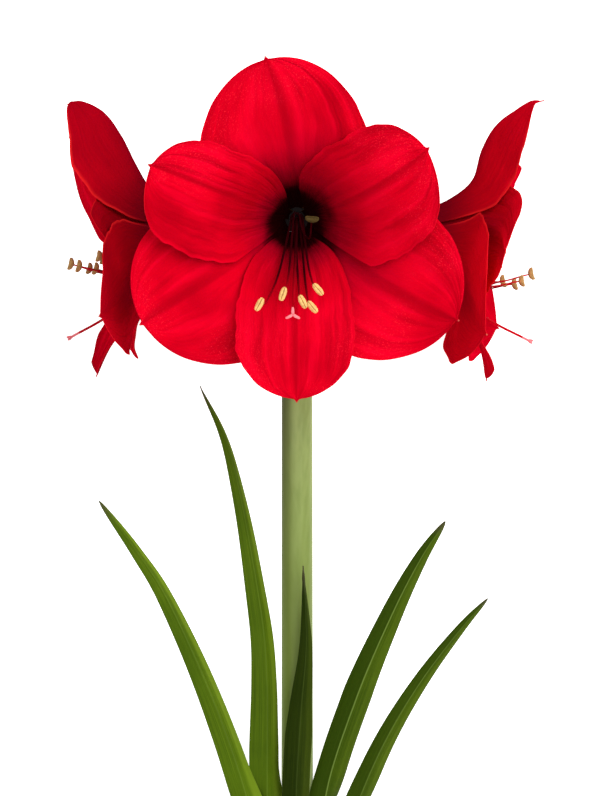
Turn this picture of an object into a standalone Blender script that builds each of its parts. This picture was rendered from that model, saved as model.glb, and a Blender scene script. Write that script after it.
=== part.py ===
"""Red lion amaryllis, cut: a thick scape, three open blooms in an umbel and five strap leaves.

The plant is modelled upright in its own frame: x to the right, y up the scape from the cut, z towards
the viewer. It is then laid down on its back, where it rests on a rear tepal of each side bloom and on the
cut end of the scape.
"""

import math

import bmesh
import bpy
from mathutils import Matrix, Vector

MM = 0.001
THIN_GAP = 0.3 * MM

# The plant as a whole
SCAPE_LENGTH = 368 * MM
SCAPE_RADIUS_LOW = 9.3 * MM
SCAPE_RADIUS_TOP = 9.05 * MM
SCAPE_SIDES = 24
REST_PITCH = math.radians(12.655)
REST_ROLL = math.radians(0.394)

# The base of each bloom, and where it faces: yaw from the viewer to the right, and nod below level
BLOOMS = {
    "front": {"base": (0.0, 394 * MM, 50 * MM), "yaw": 0.0, "nod": 12.0},
    "left": {"base": (-50 * MM, 386 * MM, 2 * MM), "yaw": -87.0, "nod": 10.0},
    "right": {"base": (50 * MM, 386 * MM, 2 * MM), "yaw": 87.0, "nod": 9.0},
}

# The funnel that all the tepals of a bloom lie on: forward and outward at even steps along a midrib.
# The top tepals of the side blooms rise sooner, and the left one nods forward again like a hood.
MIDRIBS = {
    "outer": ((0, 6.0), (17, 17), (34, 28), (48, 42), (55, 62), (61, 82), (69, 101), (81, 118)),
    "inner": ((0, 6.0), (17, 16), (35, 26), (50, 38), (61, 54), (67, 73), (71, 92), (77, 110)),
    "hooded": ((0, 6.0), (15, 17), (28, 32), (36, 50), (42, 68), (51, 83), (68, 88), (97, 82)),
    "upright": ((0, 6.0), (17, 17), (34, 28), (46, 41), (50, 61), (58, 78), (77, 91), (105, 94)),
}
MIDRIB_STEPS = 6

# Each tepal: whorl, azimuth at its foot and tip (degrees), tip as a share of the midrib, half width on
# its side of lower and of higher azimuth, how far its tip leans forward (mm), the seed of its waves, how
# far these two margins fold forward (mm), and how blunt its end is
TEPALS = {
    "front": {
        "top": ("outer", 94, 98, 0.93, 56, 61, 0, 1, 0, 0, 2.0),
        "lower_left": ("outer", 210, 208, 0.955, 56, 61, 0, 2, 0, 0, 2.8),
        "lower_right": ("outer", 330, 332, 0.965, 58, 56, 0, 3, 0, 0, 2.4),
        "upper_left": ("inner", 150, 155, 0.94, 25, 36, 0, 4, 0, 0, 3.4),
        "upper_right": ("inner", 30, 33, 0.905, 44, 33, 0, 5, 0, 0, 3.2),
        "bottom": ("inner", 270, 271, 0.975, 36, 34, 0, 6, 0, 0, 3.0),
    },
    "left": {
        "top": ("hooded", 90, 86, 0.99, 46, 46, 0, 7, 21, 0, 2.2),
        "lower_left": ("outer", 210, 200, 0.95, 45, 45, 0, 8, 0, 0, 2.2),
        "lower_right": ("outer", 330, 337, 0.93, 41, 41, 4, 9, 0, 0, 2.2),
        "upper_left": ("inner", 150, 114, 0.88, 24, 24, 4, 10, 0, 0, 2.2),
        "upper_right": ("inner", 30, 4, 0.72, 34, 34, -5, 11, 0, 0, 2.2),
        "bottom": ("inner", 270, 258, 0.79, 29, 28, 12, 12, 7, -8, 3.0),
    },
    "right": {
        "top": ("upright", 90, 97, 0.99, 49, 49, 3, 13, 0, 12, 3.0),
        "lower_left": ("outer", 210, 210, 0.95, 49, 49, 0, 14, 0, -16, 2.2),
        "lower_right": ("outer", 330, 337, 0.95, 43, 43, 11, 9, 0, 0, 2.2),
        "upper_left": ("inner", 150, 182, 0.88, 35, 35, 1, 16, 0, 0, 2.2),
        "upper_right": ("inner", 30, 36, 0.92, 38, 38, 0, 11, 0, 0, 2.2),
        "bottom": ("inner", 270, 277, 0.81, 30, 30, 6, 18, 0, 0, 3.0),
    },
}
TEPAL_THICKNESS = 0.8 * MM
TEPAL_ROWS = 9
TEPAL_COLUMNS = 8
TEPAL_FOOT = {"outer": 1.3, "hooded": 1.3, "upright": 1.3, "inner": 0.4}
WIDEST_ANGLE = math.radians(56.5)
BLUNT_FROM = 0.66
BLUNT_ROUND = 0.6
TIP_HALF_WIDTH = 1.4
WHORL_OFFSET_TUBE = 1.05
WHORL_OFFSET_LIMB = 2.1
EDGE_WAVE = 3.2
MIDRIB_GROOVE = 1.3

# Stamens and pistil, in a bloom's own frame: right, up and forward of its base
RING_RADIUS = 3.1 * MM
RING_THICKNESS = 0.8 * MM
RING_FORWARD = 1.3 * MM
FILAMENT_RADIUS = 0.75 * MM
FILAMENT_SAG = 7 * MM
STYLE_RADIUS = 0.95 * MM
STIGMA_LOBE = 4.2 * MM
ANTHER_LENGTH = 7.4 * MM
ANTHER_RADIUS = 1.8 * MM
ANTHER_SIDES = 7
ANTHER_ENDS = {
    "front": ((11, -25, 92), (8, 4, 44), (-7, -27, 93), (-19, -33, 90), (3, -31, 95), (8, -34, 93)),
    "left": ((10, -4, 75), (4, 0, 63), (-5, -1, 61), (-11, -5, 70), (-6, -1, 80), (6, -7, 66)),
    "right": ((11, -14, 77), (4, -4, 66), (-5, -5, 63), (-11, -13, 80), (-6, -8, 85), (6, -14, 70)),
}
ANTHER_SLANTS = {
    "front": (127, 160, 73, 65, 114, 127),
    "left": (100, 60, 80, 115, 75, 95),
    "right": (80, 120, 100, 65, 105, 85),
}
STYLE_ENDS = {"front": (-2, -37, 98), "left": (1, -42, 89), "right": (-1, -45, 92)}

# Flower stalk and the ovary at its end
STALK_RADIUS = 3.2 * MM
STALK_FOOT = 5.3 * MM
OVARY_RADIUS = 7.9 * MM
OVARY_LENGTH = 17 * MM

# Leaves: azimuth at the foot (0 right, 90 viewer), foot radius, keel azimuth above, widest half width,
# taper factor and power, and the keel line from above the foot to the tip
LEAVES = {
    "leaf_far_left": (
        (158, 12.1, 66),
        (8.5, 9.8, 0.5),
        ((-28, 63, 17), (-47.2, 119, 19), (-73.2, 177, 19), (-91, 205, 17), (-113.5, 235, 14)),
    ),
    "leaf_near_left": (
        (183, 10.3, 64),
        (9.3, 12.0, 0.7),
        ((-17, 63, 10.5), (-17.4, 128, 12), (-21.8, 177, 10), (-38, 259, 6), (-56.3, 301, 0)),
    ),
    "leaf_front": (
        (89, 10.3, 84),
        (7.8, 16.0, 1.0),
        ((-0.6, 63, 17.4), (2.3, 115, 17.4), (5.2, 153, 17), (3.5, 198, 17)),
    ),
    "leaf_near_right": (
        (0, 10.3, 90),
        (8.4, 12.6, 0.5),
        ((16, 63, 7.5), (34, 120.6, 9), (54, 168, 10), (71, 201, 9), (85.6, 223, 7)),
    ),
    "leaf_far_right": (
        (22, 12.1, 88),
        (6.9, 8.6, 0.5),
        ((35, 63, 15), (52.2, 101, 17), (72, 133.4, 17), (94, 161.8, 15), (109.6, 179, 13)),
    ),
}
LEAF_THICKNESS = 1.3 * MM
LEAF_ROWS = 17
LEAF_COLUMNS = 4
LEAF_FOOT_HALF_ANGLE = math.radians(30)
LEAF_KEEL_ANGLE = math.radians(24)
LEAF_TIP_HALF_WIDTH = 0.8
SHEATH_TOP = 54
KEEL_TURNED_BY = 84

# Withered bracts that wrapped the buds
BRACT_LENGTH = 52 * MM
BRACT_HALF_ANGLE = math.radians(42)
BRACT_AZIMUTHS = {"spathe_bract_left": 188, "spathe_bract_right": -8}
BRACT_THICKNESS = 0.7 * MM
BRACT_TOP = 6 * MM

COLOURS = {
    "tepal": ((0.72, 0.004, 0.016), 0.5),
    "filament": ((0.62, 0.01, 0.02), 0.45),
    "pistil": ((0.75, 0.08, 0.1), 0.45),
    "anther": ((0.85, 0.62, 0.3), 0.8),
    "stalk": ((0.2, 0.3, 0.06), 0.5),
    "scape": ((0.28, 0.4, 0.1), 0.5),
    "leaf": ((0.07, 0.14, 0.01), 0.4),
    "bract": ((0.45, 0.33, 0.2), 0.85),
}


def clear_scene():
    for obj in list(bpy.data.objects):
        bpy.data.objects.remove(obj, do_unlink=True)


def make_collection(name):
    collection = bpy.data.collections.new(name)
    bpy.context.scene.collection.children.link(collection)
    return collection


def make_material(name, kind):
    colour, roughness = COLOURS[kind]
    material = bpy.data.materials.new(name)
    material.use_nodes = True
    shader = material.node_tree.nodes["Principled BSDF"]
    shader.inputs["Base Color"].default_value = (*colour, 1.0)
    shader.inputs["Roughness"].default_value = roughness
    shader.inputs["Metallic"].default_value = 0.0
    material.diffuse_color = (*colour, 1.0)
    return material


def add_object(name, mesh, kind, parent):
    """A named object of the plant, shaded smooth, with a material of its own."""
    obj = bpy.data.objects.new(name, mesh)
    bpy.data.collections["red_lion_amaryllis"].objects.link(obj)
    obj.parent = parent
    mesh.materials.clear()
    mesh.materials.append(make_material(name + "_material", kind))
    mesh.shade_smooth()
    mesh.set_sharp_from_angle(angle=math.radians(40))
    return obj


def thicken(obj, thickness):
    """Gives an open sheet its thickness, half to each side."""
    solidify = obj.modifiers.new("Thickness", "SOLIDIFY")
    solidify.thickness = thickness
    solidify.offset = 0.0
    solidify.thickness_clamp = 0.0


def sheet_mesh(name, rows, columns, place):
    """A grid bent by place(along, across), with along from 0 to 1 and across from -1 to 1, in triangles."""
    sheet = bmesh.new()
    bmesh.ops.create_grid(sheet, x_segments=columns, y_segments=rows, size=1.0)
    for vertex in sheet.verts:
        vertex.co = place((vertex.co.y + 1.0) / 2.0, vertex.co.x)
    bmesh.ops.triangulate(sheet, faces=sheet.faces[:])
    mesh = bpy.data.meshes.new(name)
    sheet.to_mesh(mesh)
    sheet.free()
    return mesh


def smooth_step(low, high, value):
    share = min(1.0, max(0.0, (value - low) / (high - low)))
    return share * share * (3.0 - 2.0 * share)


def spline(points, share):
    """The point at share (0 to 1) along a Catmull-Rom curve through the points."""
    vectors = [Vector(point) for point in points]
    spans = len(vectors) - 1
    place = min(max(share, 0.0), 1.0) * spans
    index = min(int(place), spans - 1)
    t = place - index
    start, end = vectors[index], vectors[index + 1]
    before = vectors[index - 1] if index > 0 else start * 2 - end
    after = vectors[index + 2] if index + 2 <= spans else end * 2 - start
    return 0.5 * (
        start * 2
        + (end - before) * t
        + (before * 2 - start * 5 + end * 4 - after) * t**2
        + (start * 3 - before - end * 3 + after) * t**3
    )


def midrib_point(profile, sigma):
    """Forward and outward, in mm, at the share sigma of the midrib's even steps."""
    x, y, _ = spline([(*point, 0.0) for point in profile], sigma * MIDRIB_STEPS / (len(profile) - 1))
    return Vector((x, y))


def funnel_point(sigma, angle, outer_kind):
    """Forward and outward on the funnel: outer midribs of the kind given, and inner ones between them."""
    inner_share = (1.0 - math.cos(3.0 * (angle - math.pi / 2))) / 2.0
    outer = midrib_point(MIDRIBS[outer_kind], sigma)
    inner = midrib_point(MIDRIBS["inner"], sigma)
    return outer.lerp(inner, inner_share)


def half_width_share(share, blunt):
    """The outline of a tepal: its half width along it, as a share of the widest."""
    rise = math.sin(min(1.0, share / 0.62) * math.pi / 2) ** 0.9 if share > 0 else 0.0
    if share <= BLUNT_FROM:
        return rise
    past = (share - BLUNT_FROM) / (1.0 - BLUNT_FROM)
    return max(0.0, 1.0 - past**blunt) ** BLUNT_ROUND


def tepal_point(tepal, along, across):
    """A point of a tepal's middle surface in the bloom's frame: right, up, forward, in metres."""
    whorl, foot_azimuth, tip_azimuth, tip, low_half, high_half, lean, seed, low_fold, high_fold, blunt = tepal
    outer_kind = "outer" if whorl == "inner" else whorl
    share = math.sin(along * math.pi / 2) ** 1.15
    sigma = share * tip
    centre = math.radians(foot_azimuth + (tip_azimuth - foot_azimuth) * share**2)
    radius = funnel_point(sigma, centre, outer_kind).y
    half_width = high_half if across > 0 else low_half
    half = max(half_width * half_width_share(share, blunt), TIP_HALF_WIDTH)
    half *= 1.0 + 0.03 * math.sin(9.0 * share + 2.1 * seed)
    angle = centre + min(WIDEST_ANGLE, half / radius) * across
    here = funnel_point(sigma, angle, outer_kind)
    ahead = funnel_point(sigma + 0.01, angle, outer_kind)
    slope = (ahead - here).normalized()
    inward = Vector((slope.y, -slope.x))
    lift = WHORL_OFFSET_TUBE + (WHORL_OFFSET_LIMB - WHORL_OFFSET_TUBE) * smooth_step(0.3, 0.6, share)
    open_part = smooth_step(0.42, 0.75, share)
    wave = 0.5 + 0.5 * math.sin(11.0 * share + 1.9 * seed + (1.7 if across > 0 else 0.0))
    lift += open_part * EDGE_WAVE * abs(across) ** 3 * wave
    lift += open_part * MIDRIB_GROOVE * (1.0 - math.exp(-((across / 0.16) ** 2)))
    side = 1.0 if whorl == "inner" else -1.0
    here = here + inward * (side * lift)
    fold = (high_fold if across > 0 else low_fold) * abs(across) ** 1.5 * open_part * (1.0 - share**6)
    forward = here.x + TEPAL_FOOT[whorl] + lean * share**4 + fold
    return Vector((here.y * math.cos(angle), here.y * math.sin(angle), forward)) * MM


def make_tepal(bloom, place, parent):
    tepal = TEPALS[bloom][place]
    name = f"{bloom}_tepal_{place}"

    def place_point(along, across):
        return tepal_point(tepal, along, across)

    mesh = sheet_mesh(name, TEPAL_ROWS, TEPAL_COLUMNS, place_point)
    thicken(add_object(name, mesh, "tepal", parent), TEPAL_THICKNESS)


def tube_object(name, points, radii, sides_resolution=0):
    """A capped tube through the points, with its own radius at each."""
    curve = bpy.data.curves.new(name, "CURVE")
    curve.dimensions = "3D"
    curve.bevel_depth = 1.0
    curve.bevel_resolution = sides_resolution
    curve.use_fill_caps = True
    line = curve.splines.new("POLY")
    line.points.add(len(points) - 1)
    for point, place, radius in zip(line.points, points, radii):
        point.co = (*place, 1.0)
        point.radius = radius
    obj = bpy.data.objects.new(name, curve)
    bpy.context.scene.collection.objects.link(obj)
    return obj


def mesh_from(obj):
    """Turns an object into plain mesh data with its caps welded, and removes it."""
    bpy.context.view_layer.update()
    evaluated = obj.evaluated_get(bpy.context.evaluated_depsgraph_get())
    mesh = bpy.data.meshes.new_from_object(evaluated)
    mesh.transform(obj.matrix_world)
    bpy.data.objects.remove(obj, do_unlink=True)
    work = bmesh.new()
    work.from_mesh(mesh)
    bmesh.ops.remove_doubles(work, verts=work.verts[:], dist=0.01 * MM)
    bmesh.ops.recalc_face_normals(work, faces=work.faces[:])
    work.to_mesh(mesh)
    work.free()
    return mesh


def union_mesh(name, meshes, solver="EXACT"):
    """One closed body from several that sink into each other."""
    group = bpy.data.collections.new(name + "_parts")
    bpy.context.scene.collection.children.link(group)
    base = bpy.data.objects.new(name + "_base", meshes[0])
    bpy.context.scene.collection.objects.link(base)
    for mesh in meshes[1:]:
        group.objects.link(bpy.data.objects.new(mesh.name, mesh))
    union = base.modifiers.new("Union", "BOOLEAN")
    union.operation = "UNION"
    union.operand_type = "COLLECTION"
    union.collection = group
    union.solver = solver
    joined = mesh_from(base)
    for obj in list(group.objects):
        bpy.data.objects.remove(obj, do_unlink=True)
    bpy.data.collections.remove(group)
    return joined


def make_ring():
    bpy.ops.mesh.primitive_torus_add(
        major_radius=RING_RADIUS,
        minor_radius=RING_THICKNESS,
        major_segments=16,
        minor_segments=5,
        location=(0.0, 0.0, RING_FORWARD),
    )
    return mesh_from(bpy.context.object)


def filament_path(index, end):
    """From the ring, down with the lower side of the tube and up again to the anther."""
    azimuth = math.radians(60 * index)
    foot = Vector((RING_RADIUS * math.cos(azimuth), RING_RADIUS * math.sin(azimuth), RING_FORWARD))
    tip = Vector(end) * MM
    rise = foot + Vector((0.0, 0.0, 9 * MM))
    low_height = min(tip.y * 0.5, 0.0) - FILAMENT_SAG + foot.y * 0.5
    late_height = min(tip.y * 0.85, 0.0) - FILAMENT_SAG + foot.y * 0.4
    low = Vector((tip.x * 0.42 + foot.x * 0.6, low_height, tip.z * 0.48))
    late = Vector((tip.x * 0.8 + foot.x * 0.3, late_height, tip.z * 0.78))
    return [foot, rise, low, late, tip]


def make_filaments(bloom, parent):
    name = f"{bloom}_filaments"
    meshes = [make_ring()]
    for index, end in enumerate(ANTHER_ENDS[bloom]):
        path = filament_path(index, end)
        shares = [step / 8 for step in range(9)]
        points = [spline(path, share) for share in shares]
        radii = [FILAMENT_RADIUS * (1.0 - 0.4 * share) for share in shares]
        meshes.append(mesh_from(tube_object(f"{name}_{index}", points, radii)))
    add_object(name, union_mesh(name, meshes), "filament", parent)


def anther_axis(bloom, index):
    """Versatile anthers lie across the ends of their filaments, each at its own slant."""
    angle = math.radians(ANTHER_SLANTS[bloom][index])
    return Vector((math.cos(angle), math.sin(angle), 0.25)).normalized()


def make_anther(bloom, index, parent):
    name = f"{bloom}_anther_{index + 1}"
    path = filament_path(index, ANTHER_ENDS[bloom][index])
    heading = (path[-1] - spline(path, 0.97)).normalized()
    axis = anther_axis(bloom, index)
    axis = (axis - heading * axis.dot(heading)).normalized()
    centre = path[-1] + heading * (ANTHER_RADIUS + THIN_GAP)
    work = bmesh.new()
    bmesh.ops.create_uvsphere(work, u_segments=ANTHER_SIDES, v_segments=5, radius=1.0)
    for vertex in work.verts:
        vertex.co.x *= ANTHER_RADIUS
        vertex.co.y *= ANTHER_RADIUS
        vertex.co.x += ANTHER_RADIUS * 0.55 * vertex.co.z**2
        vertex.co.z *= ANTHER_LENGTH / 2
    across = axis.cross(heading)
    turn = Matrix((heading, across, axis)).transposed().to_4x4()
    bmesh.ops.transform(work, matrix=Matrix.Translation(centre) @ turn, verts=work.verts[:])
    mesh = bpy.data.meshes.new(name)
    work.to_mesh(mesh)
    work.free()
    add_object(name, mesh, "anther", parent)


def style_path(bloom):
    tip = Vector(STYLE_ENDS[bloom]) * MM
    foot = Vector((0.0, 0.0, THIN_GAP))
    return [
        foot,
        foot + Vector((0.0, -0.3 * MM, 8 * MM)),
        Vector((tip.x * 0.3, tip.y * 0.36, 32 * MM)),
        Vector((tip.x * 0.7, tip.y * 0.78, 64 * MM)),
        tip,
    ]


def make_pistil(bloom, parent):
    """The style, with its stigma of three lobes."""
    name = f"{bloom}_pistil"
    path = style_path(bloom)
    shares = [step / 10 for step in range(11)]
    points = [spline(path, share) for share in shares]
    radii = [STYLE_RADIUS * (1.0 - 0.25 * share) for share in shares]
    meshes = [mesh_from(tube_object(name + "_style", points, radii))]
    heading = (points[-1] - points[-2]).normalized()
    for lobe in range(3):
        angle = math.radians(90 + 120 * lobe)
        out = Vector((math.cos(angle), math.sin(angle), 0.0))
        out = (out - heading * out.dot(heading)).normalized()
        middle = points[-1] + (out * 0.6 + heading * 0.25) * STIGMA_LOBE * 0.6
        end = points[-1] + (out + heading * 0.1) * STIGMA_LOBE
        root = points[-1] - heading * STYLE_RADIUS * (0.5 + 0.17 * lobe)
        lobe_points = [root, middle, end]
        lobe_radii = [STYLE_RADIUS * (0.5 + 0.04 * lobe), STYLE_RADIUS, STYLE_RADIUS * 0.6]
        meshes.append(mesh_from(tube_object(f"{name}_lobe_{lobe}", lobe_points, lobe_radii)))
    add_object(name, union_mesh(name, meshes, solver="MANIFOLD"), "pistil", parent)


def bloom_matrix(bloom):
    """The bloom's own axes, right, up and forward, in the plant's frame."""
    place = BLOOMS[bloom]
    yaw = math.radians(place["yaw"])
    nod = math.radians(place["nod"])
    forward = Vector((math.sin(yaw) * math.cos(nod), -math.sin(nod), math.cos(yaw) * math.cos(nod)))
    right = Vector((0.0, 1.0, 0.0)).cross(forward).normalized()
    up = forward.cross(right)
    turn = Matrix((right, up, forward)).transposed().to_4x4()
    return Matrix.Translation(Vector(place["base"])) @ turn


def make_bloom_frame(bloom, plant):
    frame = bpy.data.objects.new(f"{bloom}_bloom_frame", None)
    bpy.data.collections["red_lion_amaryllis"].objects.link(frame)
    frame.parent = plant
    frame.matrix_local = bloom_matrix(bloom)
    return frame


def make_stalk(bloom, plant):
    """The flower stalk, from the top of the scape to the ovary whose flat end carries the bloom."""
    name = f"{bloom}_stalk_with_ovary"
    frame = bloom_matrix(bloom)
    end = frame.translation
    forward = frame.col[2].to_3d()
    out = Vector((end.x, 0.0, end.z)).normalized()
    foot = out * STALK_FOOT + Vector((0.0, SCAPE_LENGTH + THIN_GAP, 0.0))
    neck = end - forward * OVARY_LENGTH
    middle = foot.lerp(neck, 0.5) + Vector((0.0, 6 * MM, 0.0)) - out * 3 * MM
    path = [foot, foot + Vector((0.0, 6 * MM, 0.0)) + out * 1 * MM, middle, neck]
    shares = [step / 6 for step in range(7)]
    points = [spline(path, share) for share in shares]
    radii = [STALK_RADIUS] * len(points)
    for share in (0.25, 0.5, 0.75, 0.9, 1.0):
        points.append(neck + forward * OVARY_LENGTH * share)
        radii.append(STALK_RADIUS + (OVARY_RADIUS - STALK_RADIUS) * math.sin(share * math.pi / 2) ** 0.8)
    mesh = mesh_from(tube_object(name, points, radii, sides_resolution=2))
    add_object(name, mesh, "stalk", plant)


def make_scape(plant):
    """The bare flower stem, a slightly tapered round column."""
    work = bmesh.new()
    bmesh.ops.create_cone(
        work,
        cap_ends=True,
        segments=SCAPE_SIDES,
        radius1=SCAPE_RADIUS_LOW,
        radius2=SCAPE_RADIUS_TOP,
        depth=SCAPE_LENGTH,
    )
    along_y = Matrix.Translation((0.0, SCAPE_LENGTH / 2, 0.0)) @ Matrix.Rotation(-math.pi / 2, 4, "X")
    bmesh.ops.transform(work, matrix=along_y, verts=work.verts[:])
    mesh = bpy.data.meshes.new("scape")
    work.to_mesh(mesh)
    work.free()
    add_object("scape", mesh, "scape", plant)


def leaf_point(leaf, along, across):
    """A point of a leaf's middle surface: a sheath round the scape at its foot, a keeled blade above."""
    (azimuth, foot_radius, upper_azimuth), (widest, taper, power), line = leaf
    foot_turn = math.radians(azimuth)
    foot = Vector((math.cos(foot_turn), 0.0, math.sin(foot_turn))) * foot_radius
    points = [foot, *line]
    centre = spline(points, along)
    tangent = (spline(points, along + 0.01) - spline(points, along - 0.01)).normalized()
    turned = smooth_step(SHEATH_TOP * 0.3, KEEL_TURNED_BY, centre.y)
    keel_turn = foot_turn + (math.radians(upper_azimuth) - foot_turn) * turned
    keel = Vector((math.cos(keel_turn), 0.0, math.sin(keel_turn)))
    keel = (keel - tangent * keel.dot(tangent)).normalized()
    side = tangent.cross(keel)
    height = centre.y / line[-1][1]
    width = max(LEAF_TIP_HALF_WIDTH, min(widest, taper * max(0.0, 1.0 - height) ** power))
    blade = side * (width * across) - keel * (width * abs(across) ** 1.35 * math.tan(LEAF_KEEL_ANGLE))
    sheath_turn = foot_turn - LEAF_FOOT_HALF_ANGLE * across
    sheath = Vector((math.cos(sheath_turn), 0.0, math.sin(sheath_turn))) * foot_radius - foot
    point = centre + sheath.lerp(blade, smooth_step(SHEATH_TOP * 0.15, SHEATH_TOP, centre.y))
    return point * MM


def make_leaf(name, plant):
    leaf = LEAVES[name]
    mesh = sheet_mesh(name, LEAF_ROWS, LEAF_COLUMNS, lambda along, across: leaf_point(leaf, along, across))
    thicken(add_object(name, mesh, "leaf", plant), LEAF_THICKNESS)


def bract_point(azimuth, along, across):
    """A withered bract: it grips the scape just under its top and hangs down, narrowing to a point."""
    turn = math.radians(azimuth)
    reach = SCAPE_RADIUS_TOP + THIN_GAP * 1.6 + BRACT_THICKNESS / 2 + 9 * MM * smooth_step(0.15, 1.0, along)
    narrowing = SCAPE_RADIUS_TOP / (SCAPE_RADIUS_TOP + 6 * MM * along)
    half = BRACT_HALF_ANGLE * (1.0 - 0.93 * along**1.5) * narrowing
    angle = turn + half * across
    ripple = 0.5 * MM * along * math.sin(14.0 * along + 3.0 * across)
    height = SCAPE_LENGTH - BRACT_TOP - BRACT_LENGTH * along
    return Vector(((reach + ripple) * math.cos(angle), height, (reach + ripple) * math.sin(angle)))


def make_bract(name, plant):
    azimuth = BRACT_AZIMUTHS[name]
    mesh = sheet_mesh(name, 9, 4, lambda along, across: bract_point(azimuth, along, across))
    thicken(add_object(name, mesh, "bract", plant), BRACT_THICKNESS)


def set_on_origin(plant):
    """Moves the laid plant so that the middle of its box's lowest side is the origin."""
    bpy.context.view_layer.update()
    graph = bpy.context.evaluated_depsgraph_get()
    low = Vector((math.inf,) * 3)
    high = Vector((-math.inf,) * 3)
    for obj in bpy.data.collections["red_lion_amaryllis"].objects:
        if obj.type != "MESH":
            continue
        evaluated = obj.evaluated_get(graph)
        mesh = evaluated.to_mesh()
        for vertex in mesh.vertices:
            place = evaluated.matrix_world @ vertex.co
            low = Vector(map(min, low, place))
            high = Vector(map(max, high, place))
        evaluated.to_mesh_clear()
    plant.location = (-(low.x + high.x) / 2, -(low.y + high.y) / 2, -low.z)


def main():
    clear_scene()
    collection = make_collection("red_lion_amaryllis")
    plant = bpy.data.objects.new("plant", None)
    collection.objects.link(plant)
    make_scape(plant)
    for name in LEAVES:
        make_leaf(name, plant)
    for name in BRACT_AZIMUTHS:
        make_bract(name, plant)
    for bloom in BLOOMS:
        frame = make_bloom_frame(bloom, plant)
        make_stalk(bloom, plant)
        for place in TEPALS[bloom]:
            make_tepal(bloom, place, frame)
        make_filaments(bloom, frame)
        for index in range(len(ANTHER_ENDS[bloom])):
            make_anther(bloom, index, frame)
        make_pistil(bloom, frame)
    plant.rotation_euler = (REST_PITCH, REST_ROLL, 0.0)
    set_on_origin(plant)


main()
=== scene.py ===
"""Looks of a cut red lion amaryllis: fine blooms, stamens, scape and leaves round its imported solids."""

import math

import bpy
import numpy as np
from bpy.props import FloatProperty, FloatVectorProperty, PointerProperty
from mathutils import Euler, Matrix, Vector


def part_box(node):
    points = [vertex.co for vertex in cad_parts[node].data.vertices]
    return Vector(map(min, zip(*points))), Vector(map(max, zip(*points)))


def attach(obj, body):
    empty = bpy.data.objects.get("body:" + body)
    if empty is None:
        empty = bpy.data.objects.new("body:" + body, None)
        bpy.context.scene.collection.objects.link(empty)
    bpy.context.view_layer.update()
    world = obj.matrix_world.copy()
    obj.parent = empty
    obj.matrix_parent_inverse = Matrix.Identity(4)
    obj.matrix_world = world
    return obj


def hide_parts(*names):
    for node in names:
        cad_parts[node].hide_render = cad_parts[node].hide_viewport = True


bl_info = {
    "name": "Red Lion Amaryllis",
    "version": (1, 0, 0),
    "blender": (4, 5, 0),
    "location": "View3D > Sidebar > Amaryllis",
    "description": "Makes a cut amaryllis with three open blooms, its scape and strap leaves",
    "category": "Add Mesh",
}

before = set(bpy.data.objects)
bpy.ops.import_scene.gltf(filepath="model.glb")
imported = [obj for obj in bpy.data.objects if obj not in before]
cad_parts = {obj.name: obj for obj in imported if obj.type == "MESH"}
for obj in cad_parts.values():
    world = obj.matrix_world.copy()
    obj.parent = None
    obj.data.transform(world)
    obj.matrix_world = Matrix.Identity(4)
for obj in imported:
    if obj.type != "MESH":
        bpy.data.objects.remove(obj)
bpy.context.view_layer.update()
MM = 0.001

# The plant, upright in its own frame in millimetres: x right, y up the scape from its cut, z to the viewer
SCAPE_LENGTH = 368.0
SCAPE_RADIUS_LOW = 9.3
SCAPE_RADIUS_TOP = 9.05
SCAPE_SIDES = 24
HOLLOW_DEPTH = 30.0
REST_PITCH = math.radians(12.655)
REST_ROLL = math.radians(0.394)
REST_TURN = np.array(Euler((REST_PITCH, REST_ROLL, 0.0)).to_matrix())

# The photograph's view: its size in pixels, a pixel's size at the scape, and where the scape stands in it
PICTURE = (600, 796)
PIXEL = 0.58
SCAPE_AT_PIXEL = (297, 905)
VIEW_DISTANCE = 1300.0
SENSOR = 36.0
# Where the lights stand and what they are aimed at, in the plant's frame
KEY_PLACE = (650, 740, 1150)
FILL_PLACE = (-500, 200, 1200)
LIGHT_AIM = (0.0, 330.0, 60.0)

BLOOMS = {
    "front": {"base": (0.0, 394.0, 50.0), "yaw": 0.0, "nod": 12.0, "rows": 110, "columns": 72},
    "left": {"base": (-50.0, 386.0, 2.0), "yaw": -87.0, "nod": 10.0, "rows": 80, "columns": 52},
    "right": {"base": (50.0, 386.0, 2.0), "yaw": 87.0, "nod": 9.0, "rows": 80, "columns": 52},
}

# The funnel that a bloom's tepals lie on: forward and outward at even steps along a midrib.
# The top tepals of the side blooms rise sooner, and the left one nods forward again like a hood.
MIDRIBS = {
    "outer": ((0, 6.0), (17, 17), (34, 28), (48, 42), (55, 62), (61, 82), (69, 101), (81, 118)),
    "inner": ((0, 6.0), (17, 16), (35, 26), (50, 38), (61, 54), (67, 73), (71, 92), (77, 110)),
    "hooded": ((0, 6.0), (15, 17), (28, 32), (36, 50), (42, 68), (51, 83), (68, 88), (97, 82)),
    "upright": ((0, 6.0), (17, 17), (34, 28), (46, 41), (50, 61), (58, 78), (77, 91), (105, 94)),
}
MIDRIB_STEPS = 6

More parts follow.
